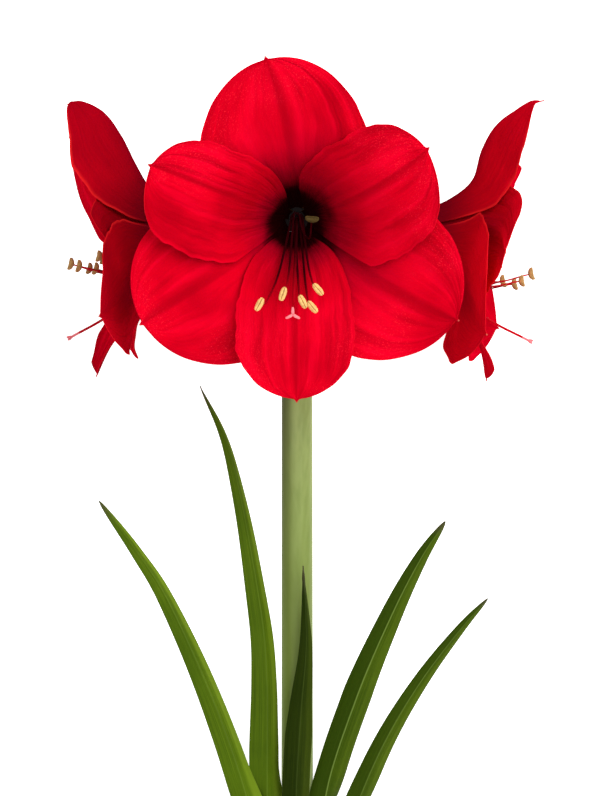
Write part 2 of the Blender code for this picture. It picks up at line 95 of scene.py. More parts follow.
# Each tepal: whorl, azimuth at its foot and tip (degrees), tip as a share of the midrib, half width on
# its side of lower and of higher azimuth, how far its tip leans forward (mm), the seed of its waves, how
# far these two margins fold forward (mm), and how blunt its end is
TEPALS = {
    "front": {
        "top": ("outer", 94, 100, 0.945, 55, 63, 0, 1, 0, 0, 2.0),
        "lower_left": ("outer", 210, 210, 0.955, 56, 62, 0, 2, 0, 0, 2.9),
        "lower_right": ("outer", 330, 332, 0.965, 55, 56, 0, 3, 0, 0, 2.4),
        "upper_left": ("inner", 150, 154, 0.955, 24, 36, 0, 4, 0, 0, 4.8),
        "upper_right": ("inner", 30, 34, 0.93, 41, 31, 0, 5, 0, 0, 4.2),
        "bottom": ("inner", 270, 270, 0.98, 33, 31, 0, 6, 0, 0, 3.2),
    },
    "left": {
        "top": ("hooded", 90, 86, 0.99, 46, 46, 0, 7, 21, 0, 3.2),
        "lower_left": ("outer", 210, 200, 0.95, 45, 45, 0, 8, 0, 0, 2.2),
        "lower_right": ("outer", 330, 337, 0.93, 41, 41, 4, 9, 0, 0, 2.2),
        "upper_left": ("inner", 150, 114, 0.88, 24, 24, 4, 10, 0, 0, 2.2),
        "upper_right": ("inner", 30, 4, 0.72, 34, 34, -5, 11, 0, 0, 2.2),
        "bottom": ("inner", 270, 258, 0.79, 29, 28, 12, 12, 9, -11, 3.2),
    },
    "right": {
        "top": ("upright", 90, 97, 0.99, 49, 49, 3, 13, 0, 12, 4.5),
        "lower_left": ("outer", 210, 210, 0.95, 49, 49, 0, 14, 0, -16, 2.2),
        "lower_right": ("outer", 330, 337, 0.95, 43, 43, 11, 9, 0, 0, 2.2),
        "upper_left": ("inner", 150, 182, 0.88, 35, 35, 1, 16, 0, 0, 2.2),
        "upper_right": ("inner", 30, 36, 0.92, 38, 38, 0, 11, 0, 0, 2.2),
        "bottom": ("inner", 270, 277, 0.83, 30, 30, 3, 18, 0, 0, 3.4),
    },
}
# How far the throat's darker colour reaches up each tepal, partly its own maroon and partly painted shade,
# and how light the backs of each bloom's tepals are painted: less on the left bloom, as painted shade
THROAT_SHARES = {
    "top": 1.3, "lower_left": 0.8, "lower_right": 1.3, "upper_left": 0.8, "upper_right": 1.15, "bottom": 0.72
}
BLOOM_BACK_PAINTED_LIGHT = {"front": 1.0, "left": 0.61, "right": 1.0}
TEPAL_FOOT = {"outer": 1.3, "hooded": 1.3, "upright": 1.3, "inner": 0.4}
WIDEST_ANGLE = math.radians(56.5)
WIDEST_FROM = 0.62
BLUNT_FROM = 0.66
BLUNT_ROUND = 0.6
WHORL_OFFSET_TUBE = 1.05
WHORL_OFFSET_LIMB = 2.1
POINT_FROM = 0.982
EDGE_WAVE = 3.2
EDGE_RUFFLE = 1.1
MIDRIB_GROOVE = 1.95
TEPAL_THICKNESS = 0.75
TEPAL_EDGE_THINNING = 0.4
RIPPLES = 7
RIPPLE_RATES = (5.0, 13.0)

RING_RADIUS = 3.1
RING_THICKNESS = 0.8
RING_FORWARD = 1.3
RING_SIDES = 48
FILAMENT_RADIUS = 0.75
FILAMENT_SAG = 7.0
STYLE_RADIUS = 0.95
STIGMA_LOBE = 4.2
STIGMA_SPREAD = {"front": 1.0, "left": 0.3, "right": 0.3}
ANTHER_LENGTH = 7.4
ANTHER_RADIUS = 1.8
ANTHER_GRID = (22, 24)
GRAIN_SIZES = (0.6, 1.3)
THIN_GAP = 0.3
INTO_FURROW = 1.1
PINK_AT_DEPTH = 140.0
ANTHER_ENDS = {
    "front": ((11, -25, 92), (8, 4, 44), (-7, -27, 93), (-19, -33, 90), (3, -31, 95), (8, -34, 93)),
    "left": ((10, -4, 75), (4, 0, 63), (-5, -1, 61), (-11, -5, 70), (-6, -1, 80), (6, -7, 66)),
    "right": ((11, -14, 77), (4, -4, 66), (-5, -5, 63), (-11, -13, 80), (-6, -8, 85), (6, -14, 70)),
}
ANTHER_SLANTS = {
    "front": (127, 160, 73, 65, 114, 127),
    "left": (100, 60, 80, 115, 75, 95),
    "right": (80, 120, 100, 65, 105, 85),
}
# The front anther deep in the throat: its own greenish colour, darkened further as painted shade
CLOSED_SHADED_ANTHER = ("front", 1)
STYLE_ENDS = {"front": (-2, -37, 98), "left": (1, -42, 89), "right": (-1, -45, 92)}

STALK_RADIUS = 3.2
STALK_FOOT = 5.3
OVARY_RADIUS = 7.9
OVARY_LENGTH = 17.0

LEAVES = {
    "leaf_far_left": (
        (158, 12.1, 66),
        (8.5, 9.8, 0.5),
        ((-28, 63, 17), (-47.2, 119, 19), (-73.2, 177, 19), (-91, 205, 17), (-113.5, 235, 14)),
    ),
    "leaf_near_left": (
        (183, 10.3, 64),
        (9.3, 12.0, 0.7),
        ((-17, 63, 10.5), (-17.4, 128, 12), (-21.8, 177, 10), (-38, 259, 6), (-56.3, 301, 0)),
    ),
    "leaf_front": (
        (89, 10.3, 84),
        (7.8, 16.0, 1.0),
        ((-0.6, 63, 17.4), (2.3, 115, 17.4), (5.2, 153, 17), (3.5, 198, 17)),
    ),
    "leaf_near_right": (
        (0, 10.3, 90),
        (8.4, 12.6, 0.5),
        ((16, 63, 7.5), (34, 120.6, 9), (54, 168, 10), (71, 201, 9), (85.6, 223, 7)),
    ),
    "leaf_far_right": (
        (22, 12.1, 88),
        (6.9, 8.6, 0.5),
        ((35, 63, 15), (52.2, 101, 17), (72, 133.4, 17), (94, 161.8, 15), (109.6, 179, 13)),
    ),
}
LEAF_FOOT_HALF_ANGLE = math.radians(30)
LEAF_KEEL_ANGLE = math.radians(24)
LEAF_TIP_HALF_WIDTH = 0.8
LEAF_THICKNESS = 1.3
LEAF_EDGE_THINNING = 0.8
LEAF_GRID = (160, 33)
SHEATH_TOP = 54.0
# How light each leaf is painted, as painted light and shade, how clear its midrib, and how much painted shade
# darkens its left half
LEAF_LOOKS = {
    "leaf_far_left": (1.5, 0.25, 0.15),
    "leaf_near_left": (1.25, 0.2, 0.2),
    "leaf_front": (0.38, 0.15, 0.3),
    "leaf_near_right": (0.95, 1.0, 0.75),
    "leaf_far_right": (0.95, 0.5, 0.6),
}
KEEL_TURNED_BY = 84.0

BRACT_LENGTH = 52.0
BRACT_HALF_ANGLE = math.radians(42)
BRACT_AZIMUTHS = {"spathe_bract_left": 188, "spathe_bract_right": -8}
BRACT_TOP = 6.0
BRACT_THICKNESS = 0.45
BRACT_GRID = (70, 29)


# Curves and surfaces of the plant, on arrays


def smooth_step(low, high, value):
    share = np.clip((np.asarray(value, float) - low) / (high - low), 0.0, 1.0)
    return share * share * (3.0 - 2.0 * share)


def spline(points, share):
    """Points at the shares (0 to 1) along a Catmull-Rom curve through the given points."""
    points = np.asarray(points, float)
    spans = len(points) - 1
    place = np.clip(np.asarray(share, float), 0.0, 1.0) * spans
    index = np.minimum(place.astype(int), spans - 1)
    t = (place - index)[..., None]
    padded = np.vstack([2 * points[:1] - points[1:2], points, 2 * points[-1:] - points[-2:-1]])
    before, start, end, after = (padded[index + step] for step in range(4))
    square = (2 * before - 5 * start + 4 * end - after) * t**2
    cube = (3 * start - before - 3 * end + after) * t**3
    return 0.5 * (2 * start + (end - before) * t + square + cube)


def unit(vectors):
    return vectors / np.maximum(np.linalg.norm(vectors, axis=-1, keepdims=True), 1e-9)


def full_turn(sides):
    return np.arange(sides) * 2 * math.pi / sides


def round_scape(reach, height, turn):
    """Points at a reach from the scape's axis, at a height and a turn about that axis."""
    return np.stack(np.broadcast_arrays(reach * np.cos(turn), height, reach * np.sin(turn)), -1)


def foot_corner():
    """Lowest corner of the scape's solid once turned to rest, before it is moved to its place."""
    low = round_scape(SCAPE_RADIUS_LOW, 0.0, full_turn(SCAPE_SIDES))
    top = round_scape(SCAPE_RADIUS_TOP, SCAPE_LENGTH, full_turn(SCAPE_SIDES))
    return (np.vstack([low, top]) @ REST_TURN.T).min(axis=0)


PLANT_PLACE = np.array(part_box("scape")[0]) - foot_corner() * MM


def to_world(points):
    """From the plant's frame in millimetres to where the plant lies, in metres."""
    return np.asarray(points) @ REST_TURN.T * MM + PLANT_PLACE


def bloom_axes(bloom):
    """The bloom's base and its own axes, right, up and forward, in the plant's frame."""
    place = BLOOMS[bloom]
    yaw, nod = math.radians(place["yaw"]), math.radians(place["nod"])
    forward = np.array((math.sin(yaw) * math.cos(nod), -math.sin(nod), math.cos(yaw) * math.cos(nod)))
    right = unit(np.cross((0.0, 1.0, 0.0), forward))
    return np.array(place["base"]), np.stack([right, np.cross(forward, right), forward])


def bloom_to_world(bloom, points):
    base, axes = bloom_axes(bloom)
    return to_world(base + np.asarray(points) @ axes)


def funnel(sigma, angle, outer_kind):
    """Forward and outward on the funnel: outer midribs of the kind given, and inner ones between them."""
    inner_share = ((1.0 - np.cos(3.0 * (angle - math.pi / 2))) / 2.0)[..., None]
    along = sigma * MIDRIB_STEPS / (len(MIDRIBS["inner"]) - 1)
    outer = spline(MIDRIBS[outer_kind], along)
    return outer * (1.0 - inner_share) + spline(MIDRIBS["inner"], along) * inner_share


def half_width_share(share, blunt):
    """The outline of a tepal: its half width along it, as a share of the widest."""
    rise = np.sin(np.minimum(1.0, share / WIDEST_FROM) * math.pi / 2) ** 0.9
    past = np.clip((share - BLUNT_FROM) / (POINT_FROM - BLUNT_FROM), 0.0, 1.0)
    return np.where(share <= BLUNT_FROM, rise, (1.0 - past**blunt) ** BLUNT_ROUND)


def ripple(along, across, seed):
    """A smooth uneven surface between -1 and 1: a few slanted waves with seeded turns."""
    draws = np.random.RandomState(seed)
    slow, fast = RIPPLE_RATES
    total = np.zeros_like(along)
    for _ in range(RIPPLES):
        rate_along, rate_across = draws.uniform(slow, fast), draws.uniform(-0.6, 0.6) * fast
        total += np.sin(rate_along * along + rate_across * across + draws.uniform(0, 2 * math.pi))
    return total / RIPPLES


def tepal_surface(tepal, along, across):
    """Middle surface of a tepal in the bloom's frame, with how far along each point is."""
    whorl, foot_azimuth, tip_azimuth, tip, low_half, high_half, lean, seed, low_fold, high_fold, blunt = tepal
    outer_kind = "outer" if whorl == "inner" else whorl
    share = np.sin(along * math.pi / 2) ** 1.15
    sigma = share * tip
    off_middle = np.abs(across)
    centre = np.radians(foot_azimuth + (tip_azimuth - foot_azimuth) * share**2)
    radius = funnel(sigma, centre, outer_kind)[..., 1]
    outline = half_width_share(share, blunt)
    point_width = 0.35 + 3.0 * np.clip((1.0 - share) / 0.035, 0.0, 1.0) ** 1.5
    half = np.maximum(np.where(across > 0, high_half, low_half) * outline, point_width)
    half = half * (1.0 + 0.03 * np.sin(9.0 * share + 2.1 * seed))
    ragged = 0.013 * np.sin(37.0 * share + 3.0 * seed + 2.0 * across) + 0.008 * np.sin(97.0 * share + seed)
    half = half * (1.0 + ragged * smooth_step(0.4, 0.6, share) * (1.0 - smooth_step(0.93, 0.97, share)))
    angle = centre + np.minimum(WIDEST_ANGLE, half / radius) * across
    here = funnel(sigma, angle, outer_kind)
    slope = unit(funnel(sigma + 0.01, angle, outer_kind) - here)
    inward = np.stack([slope[..., 1], -slope[..., 0]], -1)
    limb = smooth_step(0.42, 0.75, share) * np.where(share > 0.6, np.clip(outline / 0.55, 0.0, 1.0), 1.0)
    wave = 0.5 + 0.5 * np.sin(11.0 * share + 1.9 * seed + np.where(across > 0, 1.7, 0.0))
    ruffle = 0.5 + 0.5 * np.sin(34.0 * share + 2.7 * seed + 2.0 * across)
    relief = EDGE_WAVE * off_middle**3 * wave + EDGE_RUFFLE * off_middle**5 * ruffle
    relief = relief + MIDRIB_GROOVE * (1.0 - np.exp(-((across / 0.16) ** 2))) + ripple(along, across, seed)
    flutes = np.cos(across * 21.0 + 1.2 * np.sin(5.0 * share + seed)) * smooth_step(0.25, 0.5, share)
    lift = WHORL_OFFSET_TUBE + (WHORL_OFFSET_LIMB - WHORL_OFFSET_TUBE) * smooth_step(0.3, 0.6, share)
    lift = lift + limb * relief + 0.06 * flutes * (1.0 - smooth_step(0.85, 1.0, share))
    side = 1.0 if whorl == "inner" else -1.0
    here = here + inward * (side * lift)[..., None]
    fold = np.where(across > 0, high_fold, low_fold) * off_middle**1.5 * limb * (1.0 - share**6)
    forward = here[..., 0] + TEPAL_FOOT[whorl] + lean * share**4 + fold
    outward = here[..., 1]
    return np.stack([outward * np.cos(angle), outward * np.sin(angle), forward], -1), share


def leaf_surface(leaf, along, across):
    """Middle surface of a leaf in the plant's frame: a sheath at its foot and a keeled blade above."""
    (azimuth, foot_radius, upper_azimuth), (widest, taper, power), line = leaf
    foot_turn = math.radians(azimuth)
    foot = round_scape(foot_radius, 0.0, foot_turn)
    points = [foot, *line]
    centre = spline(points, along)
    tangent = unit(spline(points, along + 0.01) - spline(points, along - 0.01))
    turned = smooth_step(SHEATH_TOP * 0.3, KEEL_TURNED_BY, centre[..., 1])
    keel = round_scape(1.0, 0.0, foot_turn + (math.radians(upper_azimuth) - foot_turn) * turned)
    keel = unit(keel - tangent * np.sum(keel * tangent, -1, keepdims=True))
    height = centre[..., 1] / line[-1][1]
    width = np.minimum(widest, taper * np.maximum(0.0, 1.0 - height) ** power)
    width = np.maximum(LEAF_TIP_HALF_WIDTH * np.clip((1.0 - along) * 30, 0.3, 1.0), width)
    fold = width * np.abs(across) ** 1.35 * math.tan(LEAF_KEEL_ANGLE)
    ridge = 0.35 * np.exp(-((across / 0.09) ** 2))
    sway = 0.35 * np.sin(centre[..., 1] * 0.09 + azimuth) * np.abs(across)
    blade = np.cross(tangent, keel) * (width * across)[..., None] + keel * (ridge + sway - fold)[..., None]
    sheath = round_scape(foot_radius, 0.0, foot_turn - LEAF_FOOT_HALF_ANGLE * across) - foot
    blend = smooth_step(SHEATH_TOP * 0.15, SHEATH_TOP, centre[..., 1])[..., None]
    return centre + sheath * (1.0 - blend) + blade * blend


def bract_surface(azimuth, along, across):
    """A withered bract, gripping the scape just under its top and hanging down to a point."""
    reach = SCAPE_RADIUS_TOP + THIN_GAP * 1.6 + 0.35 + 9.0 * smooth_step(0.15, 1.0, along)
    reach = reach + 0.5 * along * np.sin(14.0 * along + 3.0 * across)
    reach = reach + 0.3 * along * np.sin(30.0 * across + 9.0 * along)
    half = BRACT_HALF_ANGLE * (1.0 - 0.93 * along**1.5) * SCAPE_RADIUS_TOP / (SCAPE_RADIUS_TOP + 6.0 * along)
    turn = math.radians(azimuth) + half * across
    return round_scape(reach, SCAPE_LENGTH - BRACT_TOP - BRACT_LENGTH * along, turn)


# Meshes


def mark_points(mesh, name, values):
    """Stores a number at each point of a mesh, which its material reads."""
    layer = mesh.attributes.new(name, "FLOAT", "POINT")
    layer.data.foreach_set("value", np.asarray(values, np.float32))


def sheet_grid(rows, columns):
    """Along (0 to 1) and across (-1 to 1) at each point of a sheet."""
    return np.meshgrid(np.linspace(0, 1, rows), np.linspace(-1, 1, columns), indexing="ij")


def sheet_mesh(name, middle, thickness, across, share):
    """A closed sheet round its middle surface, with a UV map and an attribute that is 1 on its outside."""
    normals = unit(np.cross(np.gradient(middle, axis=1), np.gradient(middle, axis=0)))
    half = normals * (thickness / 2)[..., None]
    shift = across.size
    index = np.arange(shift).reshape(across.shape)
    corners = (index[:-1, :-1], index[:-1, 1:], index[1:, 1:], index[1:, :-1])
    front = np.stack([corner.ravel() for corner in corners], 1)
    loop = np.concatenate([index[0, :], index[1:, -1], index[-1, -2::-1], index[-2:0:-1, 0]])
    after = np.roll(loop, -1)
    rim = np.stack([after, loop, loop + shift, after + shift], 1)
    faces = np.vstack([front, front[:, ::-1] + shift, rim])
    mesh = bpy.data.meshes.new(name)
    mesh.from_pydata(np.stack([middle + half, middle - half]).reshape(-1, 3).tolist(), [], faces.tolist())
    uv = np.tile(np.stack([across / 2 + 0.5, share], -1).reshape(-1, 2), (2, 1))
    layer = mesh.uv_layers.new(name="UVMap")
    layer.data.foreach_set("uv", uv[faces.ravel()].astype(np.float32).ravel())
    mark_points(mesh, "outside", np.repeat([1.0, 0.0], shift))
    mesh.update()
    return mesh


def round_mesh(name, rings, turned=False):
    """A closed mesh with capped ends from rings of points in metres, its faces turned over if asked."""
    index = np.arange(rings.size // 3).reshape(rings.shape[:2])
    ahead = np.roll(index, -1, axis=1)
    corners = (index[:-1], index[1:], ahead[1:], ahead[:-1])
    caps = (index[0], index[-1][::-1])
    if turned:
        corners = (index[:-1], ahead[:-1], ahead[1:], index[1:])
        caps = (index[0][::-1], index[-1])
    faces = np.stack([corner.ravel() for corner in corners], 1).tolist()
    mesh = bpy.data.meshes.new(name)
    mesh.from_pydata(rings.reshape(-1, 3).tolist(), [], faces + [cap.tolist() for cap in caps])
    return mesh


def link_object(name, data):
    """A new object of the scene that shows the data."""
    made = bpy.data.objects.new(name, data)
    bpy.context.scene.collection.objects.link(made)
    return made


def add_piece(name, mesh, material, node, sharp_angle=60):
    """Links a finished piece, gives it its material and lets it stand for its node."""
    mesh.materials.clear()
    mesh.materials.append(material)
    mesh.shade_smooth()
    mesh.set_sharp_from_angle(angle=math.radians(sharp_angle))
    piece = link_object(name, mesh)
    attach(piece, "root")
    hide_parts(node)


# Shader maths


class Shade:
    """A shader socket: arithmetic on it adds Math nodes, and node() adds any other node."""

    def __init__(self, tree, socket=None):
        self.tree = tree
        self.socket = socket

    def node(self, kind, settings=None, inputs=None, output=0):
        made = self.tree.nodes.new(kind)
        for name, value in (settings or {}).items():
            setattr(made, name, value)
        for name, value in (inputs or {}).items():
            if isinstance(value, Shade):
                self.tree.links.new(value.socket, made.inputs[name])
            else:
                made.inputs[name].default_value = value
        return Shade(self.tree, made.outputs[output])

    def math(self, operation, first, second=0.0):
        return self.node("ShaderNodeMath", {"operation": operation}, {0: first, 1: second})

    def between(self, low, high):
        """0 at low, 1 at high, smooth between."""
        inputs = {"Value": self, "From Min": low, "From Max": high}
        return self.node("ShaderNodeMapRange", {"interpolation_type": "SMOOTHSTEP"}, inputs)

    def over(self, colour, *layers):
        """The colour under others that are laid over it in turn, each given as (factor, colour)."""
        settings = {"data_type": "RGBA", "clamp_factor": True}
        for factor, layer in layers:
            low = colour if isinstance(colour, Shade) else (*colour, 1.0)
            high = layer if isinstance(layer, Shade) else (*layer, 1.0)
            colour = self.node("ShaderNodeMix", settings, {0: factor, 6: low, 7: high}, 2)
        return colour

    def attribute(self, name):
        return self.node("ShaderNodeAttribute", {"attribute_name": name}, output=2)

    def part(self, vector, axis):
        return self.node("ShaderNodeSeparateXYZ", None, {"Vector": vector}, axis)

    def noise(self, scale, detail, stretch=None, coords=None, roughness=0.5):
        """Noise on the piece's own coordinates or those given, stretched along some axes when asked."""
        coords = coords or self.node("ShaderNodeTexCoord", output=3)
        if stretch:
            coords = self.node("ShaderNodeMapping", None, {"Vector": coords, "Scale": stretch})
        inputs = {"Vector": coords, "Scale": scale, "Detail": detail, "Roughness": roughness}
        return self.node("ShaderNodeTexNoise", None, inputs)

    def bump(self, height, distance, strength, under=None):
        inputs = {"Height": height, "Distance": distance, "Strength": strength}
        if under:
            inputs["Normal"] = under
        return self.node("ShaderNodeBump", None, inputs)

    def __add__(self, other):
        return self.math("ADD", self, other)

    def __radd__(self, other):
        return self.math("ADD", other, self)

    def __sub__(self, other):
        return self.math("SUBTRACT", self, other)

    def __rsub__(self, other):
        return self.math("SUBTRACT", other, self)

    def __mul__(self, other):
        return self.math("MULTIPLY", self, other)

    def __rmul__(self, other):
        return self.math("MULTIPLY", other, self)


def start_material(name, specular, scatter=0.0, radii=None):
    """A material and its tree, with its even shine and scattering set on the Principled shader."""
    material = bpy.data.materials.new(name)
    material.use_nodes = True
    inputs = material.node_tree.nodes["Principled BSDF"].inputs
    inputs["Specular IOR Level"].default_value = specular
    inputs["Subsurface Weight"].default_value = scatter
    if radii:
        inputs["Subsurface Radius"].default_value = radii
    return material, Shade(material.node_tree)


def feed(material, colour, rough, relief=None):
    """Links what varies over the surface to the Principled shader, and gives the material back."""
    tree = material.node_tree
    for name, value in (("Base Color", colour), ("Roughness", rough), ("Normal", relief)):
        if value:
            tree.links.new(value.socket, tree.nodes["Principled BSDF"].inputs[name])
    return material


def sheet_coordinates(shade):
    """Across (-1 to 1), along (0 to 1) and the vector of a sheet's UV map."""
    uv = shade.node("ShaderNodeUVMap", {"uv_map": "UVMap"})
    return shade.part(uv, 0) * 2.0 - 1.0, shade.part(uv, 1), uv


def tepal_material():
    settings = bpy.context.scene.amaryllis_bloom
    deep, bright, reach = settings.deep_red, settings.bright_red, settings.throat_reach
    material, shade = start_material("tepal_crimson", 0.0, 0.05, (0.004, 0.0002, 0.0002))
    across, along, uv = sheet_coordinates(shade)
    edge = shade.math("ABSOLUTE", across)
    streaks = shade.noise(1.0, 4.0, (70.0, 4.0, 1.0), uv, 0.6)
    fine_streaks = shade.noise(1.0, 2.0, (260.0, 10.0, 1.0), uv)
    folds = shade.noise(1.0, 2.0, (11.0, 2.0, 1.0), uv)
    patches = shade.noise(22.0, 3.0)
    papillae = shade.noise(1500.0, 2.0)
    blotches = shade.noise(55.0, 2.0)
    # Painted glints: fine bright dots where the papillae catch the light
    painted_glints = papillae.between(0.56, 0.70) * patches.between(0.42, 0.6) * along.between(0.55, 0.85)
    # Painted shade in a band beside the midrib, where the tepal creases
    painted_crease_shade = across.between(-0.16, -0.02) * (1.0 - across.between(-0.01, 0.05)) * along.between(0.3, 0.6)
    uneven = along + streaks * 0.12 + blotches * 0.24 - 0.18
    from_throat = shade.math("DIVIDE", uneven, shade.attribute("throat"))
    body = shade.over(
        settings.red,
        (streaks.between(0.4, 0.8) * 0.22, deep),
        (patches.between(0.5, 0.75) * 0.55, bright),
        ((1.0 - patches.between(0.33, 0.52)) * 0.45, deep),
        # Darker in the folds and lighter beside them: painted shade and painted light following the fold
        # noise that also drives the bump
        (folds.between(0.52, 0.68) * 0.4, deep),
        ((1.0 - folds.between(0.33, 0.46)) * 0.35, bright),
        (fine_streaks.between(0.6, 0.8) * 0.12, deep),
        (painted_glints * 0.55, (0.95, 0.02, 0.04)),
        # A painted highlight along the front margins, where light shines through the thin edge
        (edge.between(0.95, 1.0) * along.between(0.4, 0.6) * 0.2, bright),
        (painted_crease_shade * 0.55, deep),
        # The throat: its own darker maroon, then darker still towards its depth as painted shade where little
        # light reaches
        ((1.0 - from_throat.between(reach * 0.5, reach * 1.45)) * 0.7, (0.20, 0.0003, 0.011)),
        (1.0 - from_throat.between(reach * 0.32, reach * 0.8), (0.026, 0.0002, 0.0025)),
        (1.0 - from_throat.between(reach * 0.25, reach * 0.55), (0.010, 0.0004, 0.0004)),
    )
    # Painted shade down the middle of each back, in the hollow along its midrib
    hollow = (1.0 - edge.between(0.05, 0.45)) * along.between(0.2, 0.4) * (1.0 - along.between(0.6, 0.9))
    rib = (1.0 - edge.between(0.0, 0.06)) * (1.0 - along.between(0.2, 0.6))
    back = shade.over(
        (0.54, 0.0008, 0.009),
        (streaks.between(0.3, 0.7) * 0.3, (0.25, 0.0003, 0.007)),
        (patches.between(0.45, 0.7) * along.between(0.35, 0.8) * 0.7, (0.78, 0.0014, 0.013)),
        (hollow * 0.55, (0.12, 0.0004, 0.007)),
        ((1.0 - along.between(0.25, 0.6)) * 0.9, (0.09, 0.0012, 0.006)),
        (rib * 0.6, (0.12, 0.035, 0.010)),
        (1.0 - along.between(0.03, 0.16), (0.07, 0.045, 0.012)),
        # The backs darkened by the tone attribute: painted shade, on the left bloom
        (1.0 - shade.attribute("tone"), (0.02, 0.0001, 0.004)),
        # A painted highlight along the backs' margins, where light shines through the edge
        (edge.between(0.94, 1.0) * along.between(0.3, 0.5) * 0.55, (0.85, 0.02, 0.02)),
    )
    tip = along.between(0.992, 0.999) * 0.5
    colour = shade.over(body, (shade.attribute("outside"), back), (tip, (0.72, 0.20, 0.14)))
    relief = shade.bump(streaks * 0.7 + fine_streaks * 0.3, 0.0003, 0.2)
    relief = shade.bump(folds, 0.004, 0.5, relief)
    relief = shade.bump(papillae, 0.00015, 0.4, relief)
    rough = 0.66 - papillae.between(0.55, 0.8) * 0.2
    return feed(material, colour, rough, relief)


def leaf_material(name, tone, rib_share, left_painted_shade):
    settings = bpy.context.scene.amaryllis_leaf
    material, shade = start_material(name, 0.04, 0.03, (0.001, 0.003, 0.0004))
    across, along, uv = sheet_coordinates(shade)
    veins = shade.noise(1.0, 3.0, (90.0, 4.0, 1.0), uv, 0.6)
    sheen = shade.noise(1.0, 3.0, (34.0, 2.0, 1.0), uv, 0.6)
    patches = shade.noise(22.0, 4.0)
    edge = shade.math("ABSOLUTE", across)
    rib = (1.0 - edge.between(0.01, 0.045)) * (0.6 - along.between(0.6, 1.0) * 0.5)
    # tone scales these colours: how light the leaf is painted, standing for how much light it gets
    tints = (settings.green, settings.dark_green, (0.14, 0.21, 0.012))
    green, dark, light = (tuple(level * tone for level in tint) for tint in tints)
    colour = shade.over(
        green,
        (veins.between(0.35, 0.7) * 0.8, dark),
        (patches.between(0.4, 0.75) * 0.5, dark),
        # Painted light: the sheen streaks and the right half, which faces the light; painted shade on the
        # left half
        (sheen.between(0.55, 0.75) * 0.4, light),
        (across.between(0.25, 0.6) * (1.0 - left_painted_shade) * 0.5, light),
        ((1.0 - across.between(-0.06, 0.04)) * left_painted_shade, dark),
        (rib * rib_share, (0.17, 0.25, 0.05)),
        (edge.between(0.965, 1.0) * 0.35, (0.11, 0.15, 0.04)),
        (along.between(0.9, 1.0) * 0.7, (0.07, 0.055, 0.03)),
        ((1.0 - along.between(0.0, 0.2)) * 0.3, (0.20, 0.27, 0.08)),
    )
    relief = shade.bump(patches, 0.0012, 0.3, shade.bump(veins, 0.0004, 0.5))
    return feed(material, colour, 0.55 + veins * 0.16, relief)


def scape_material():
    pale = bpy.context.scene.amaryllis_leaf.scape_green
    material, shade = start_material("scape_pale_green", 0.16, 0.05, (0.002, 0.004, 0.001))
    lengthwise = shade.noise(260.0, 4.0, (1.0, 0.04, 1.0))
    clouds = shade.noise(45.0, 4.0, (1.0, 0.35, 1.0))
    specks = shade.noise(1400.0, 2.0)
    place = shade.node("ShaderNodeTexCoord", output=3)
    painted_side_shade_x = shade.part(place, 0) - float(PLANT_PLACE[0])
    height = shade.part(place, 1) - float(PLANT_PLACE[1])
    colour = shade.over(
        pale,
        (lengthwise.between(0.35, 0.72) * 0.5, (0.145, 0.20, 0.05)),
        (clouds.between(0.5, 0.8) * 0.4, (0.26, 0.33, 0.15)),
        (specks.between(0.66, 0.8) * 0.2, (0.33, 0.40, 0.21)),
        # Painted shade down the scape's left side, away from the key light
        ((1.0 - painted_side_shade_x.between(-0.009, 0.001)) * 0.95, (0.046, 0.051, 0.0115)),
        ((1.0 - height.between(0.12, 0.34)) * 0.9, (0.13, 0.178, 0.027)),
    )
    rough = 0.46 + clouds * 0.14
    return feed(material, colour, rough, shade.bump(lengthwise, 0.0004, 0.5))


def pith_material():
    """The cut end: a pale wet wall round the hollow."""
    material, shade = start_material("cut_pith", 0.45)
    cells = shade.noise(900.0, 4.0)
    colour = shade.over((0.55, 0.62, 0.34), (cells.between(0.4, 0.65), (0.74, 0.78, 0.55)))
    return feed(material, colour, 0.3 + cells * 0.2, shade.bump(cells, 0.0004, 0.6))


def stalk_material():
    """Green stalk, flushed red towards the ovary's end, and near black at its very end as painted shade."""
    material, shade = start_material("stalk_green", 0.08)
    share = shade.attribute("share")
    mottle = shade.noise(240.0, 4.0)
    colour = shade.over(
        (0.15, 0.25, 0.05),
        (mottle.between(0.35, 0.7), (0.24, 0.33, 0.09)),
        ((share + mottle * 0.2 - 0.1).between(0.55, 1.05) * 0.7, (0.22, 0.05, 0.02)),
        # Near black at the ovary's end, deep in the throat: painted shade
        (share.between(0.965, 0.985), (0.004, 0.001, 0.001)),
    )
    return feed(material, colour, 0.4 + mottle * 0.15, shade.bump(mottle, 0.0005, 0.4))


def bract_material():
    material, shade = start_material("bract_papery", 0.2, 0.08)
    uv = shade.node("ShaderNodeUVMap", {"uv_map": "UVMap"})
    veins = shade.noise(1.0, 3.0, (45.0, 3.0, 1.0), uv, 0.6)
    stains = shade.noise(130.0, 4.0)
    colour = shade.over(
        (0.42, 0.31, 0.18),
        (veins.between(0.4, 0.62), (0.6, 0.5, 0.34)),
        (stains.between(0.5, 0.75) * 0.7, (0.25, 0.12, 0.06)),
    )
    return feed(material, colour, 0.72 + veins * 0.15, shade.bump(veins, 0.0008, 0.7))


def thread_material():
    """Filaments and styles: painted dark as shade in the throat, then red, and pink where the share attribute
    nears one.
    """
    material, shade = start_material("thread_red", 0.04, 0.05, (0.002, 0.0004, 0.0004))
    share = shade.attribute("share")
    mottle = shade.noise(800.0, 3.0)
    colour = shade.over(
        # Near black in the throat, by depth: painted shade
        (0.03, 0.0003, 0.002),
        ((share + mottle * 0.1 - 0.05).between(0.3, 0.62), (0.50, 0.001, 0.010)),
        (share.between(0.75, 0.95), (0.82, 0.22, 0.24)),
    )
    return feed(material, colour, 0.4 + mottle * 0.15, shade.bump(mottle, 0.0002, 0.4))


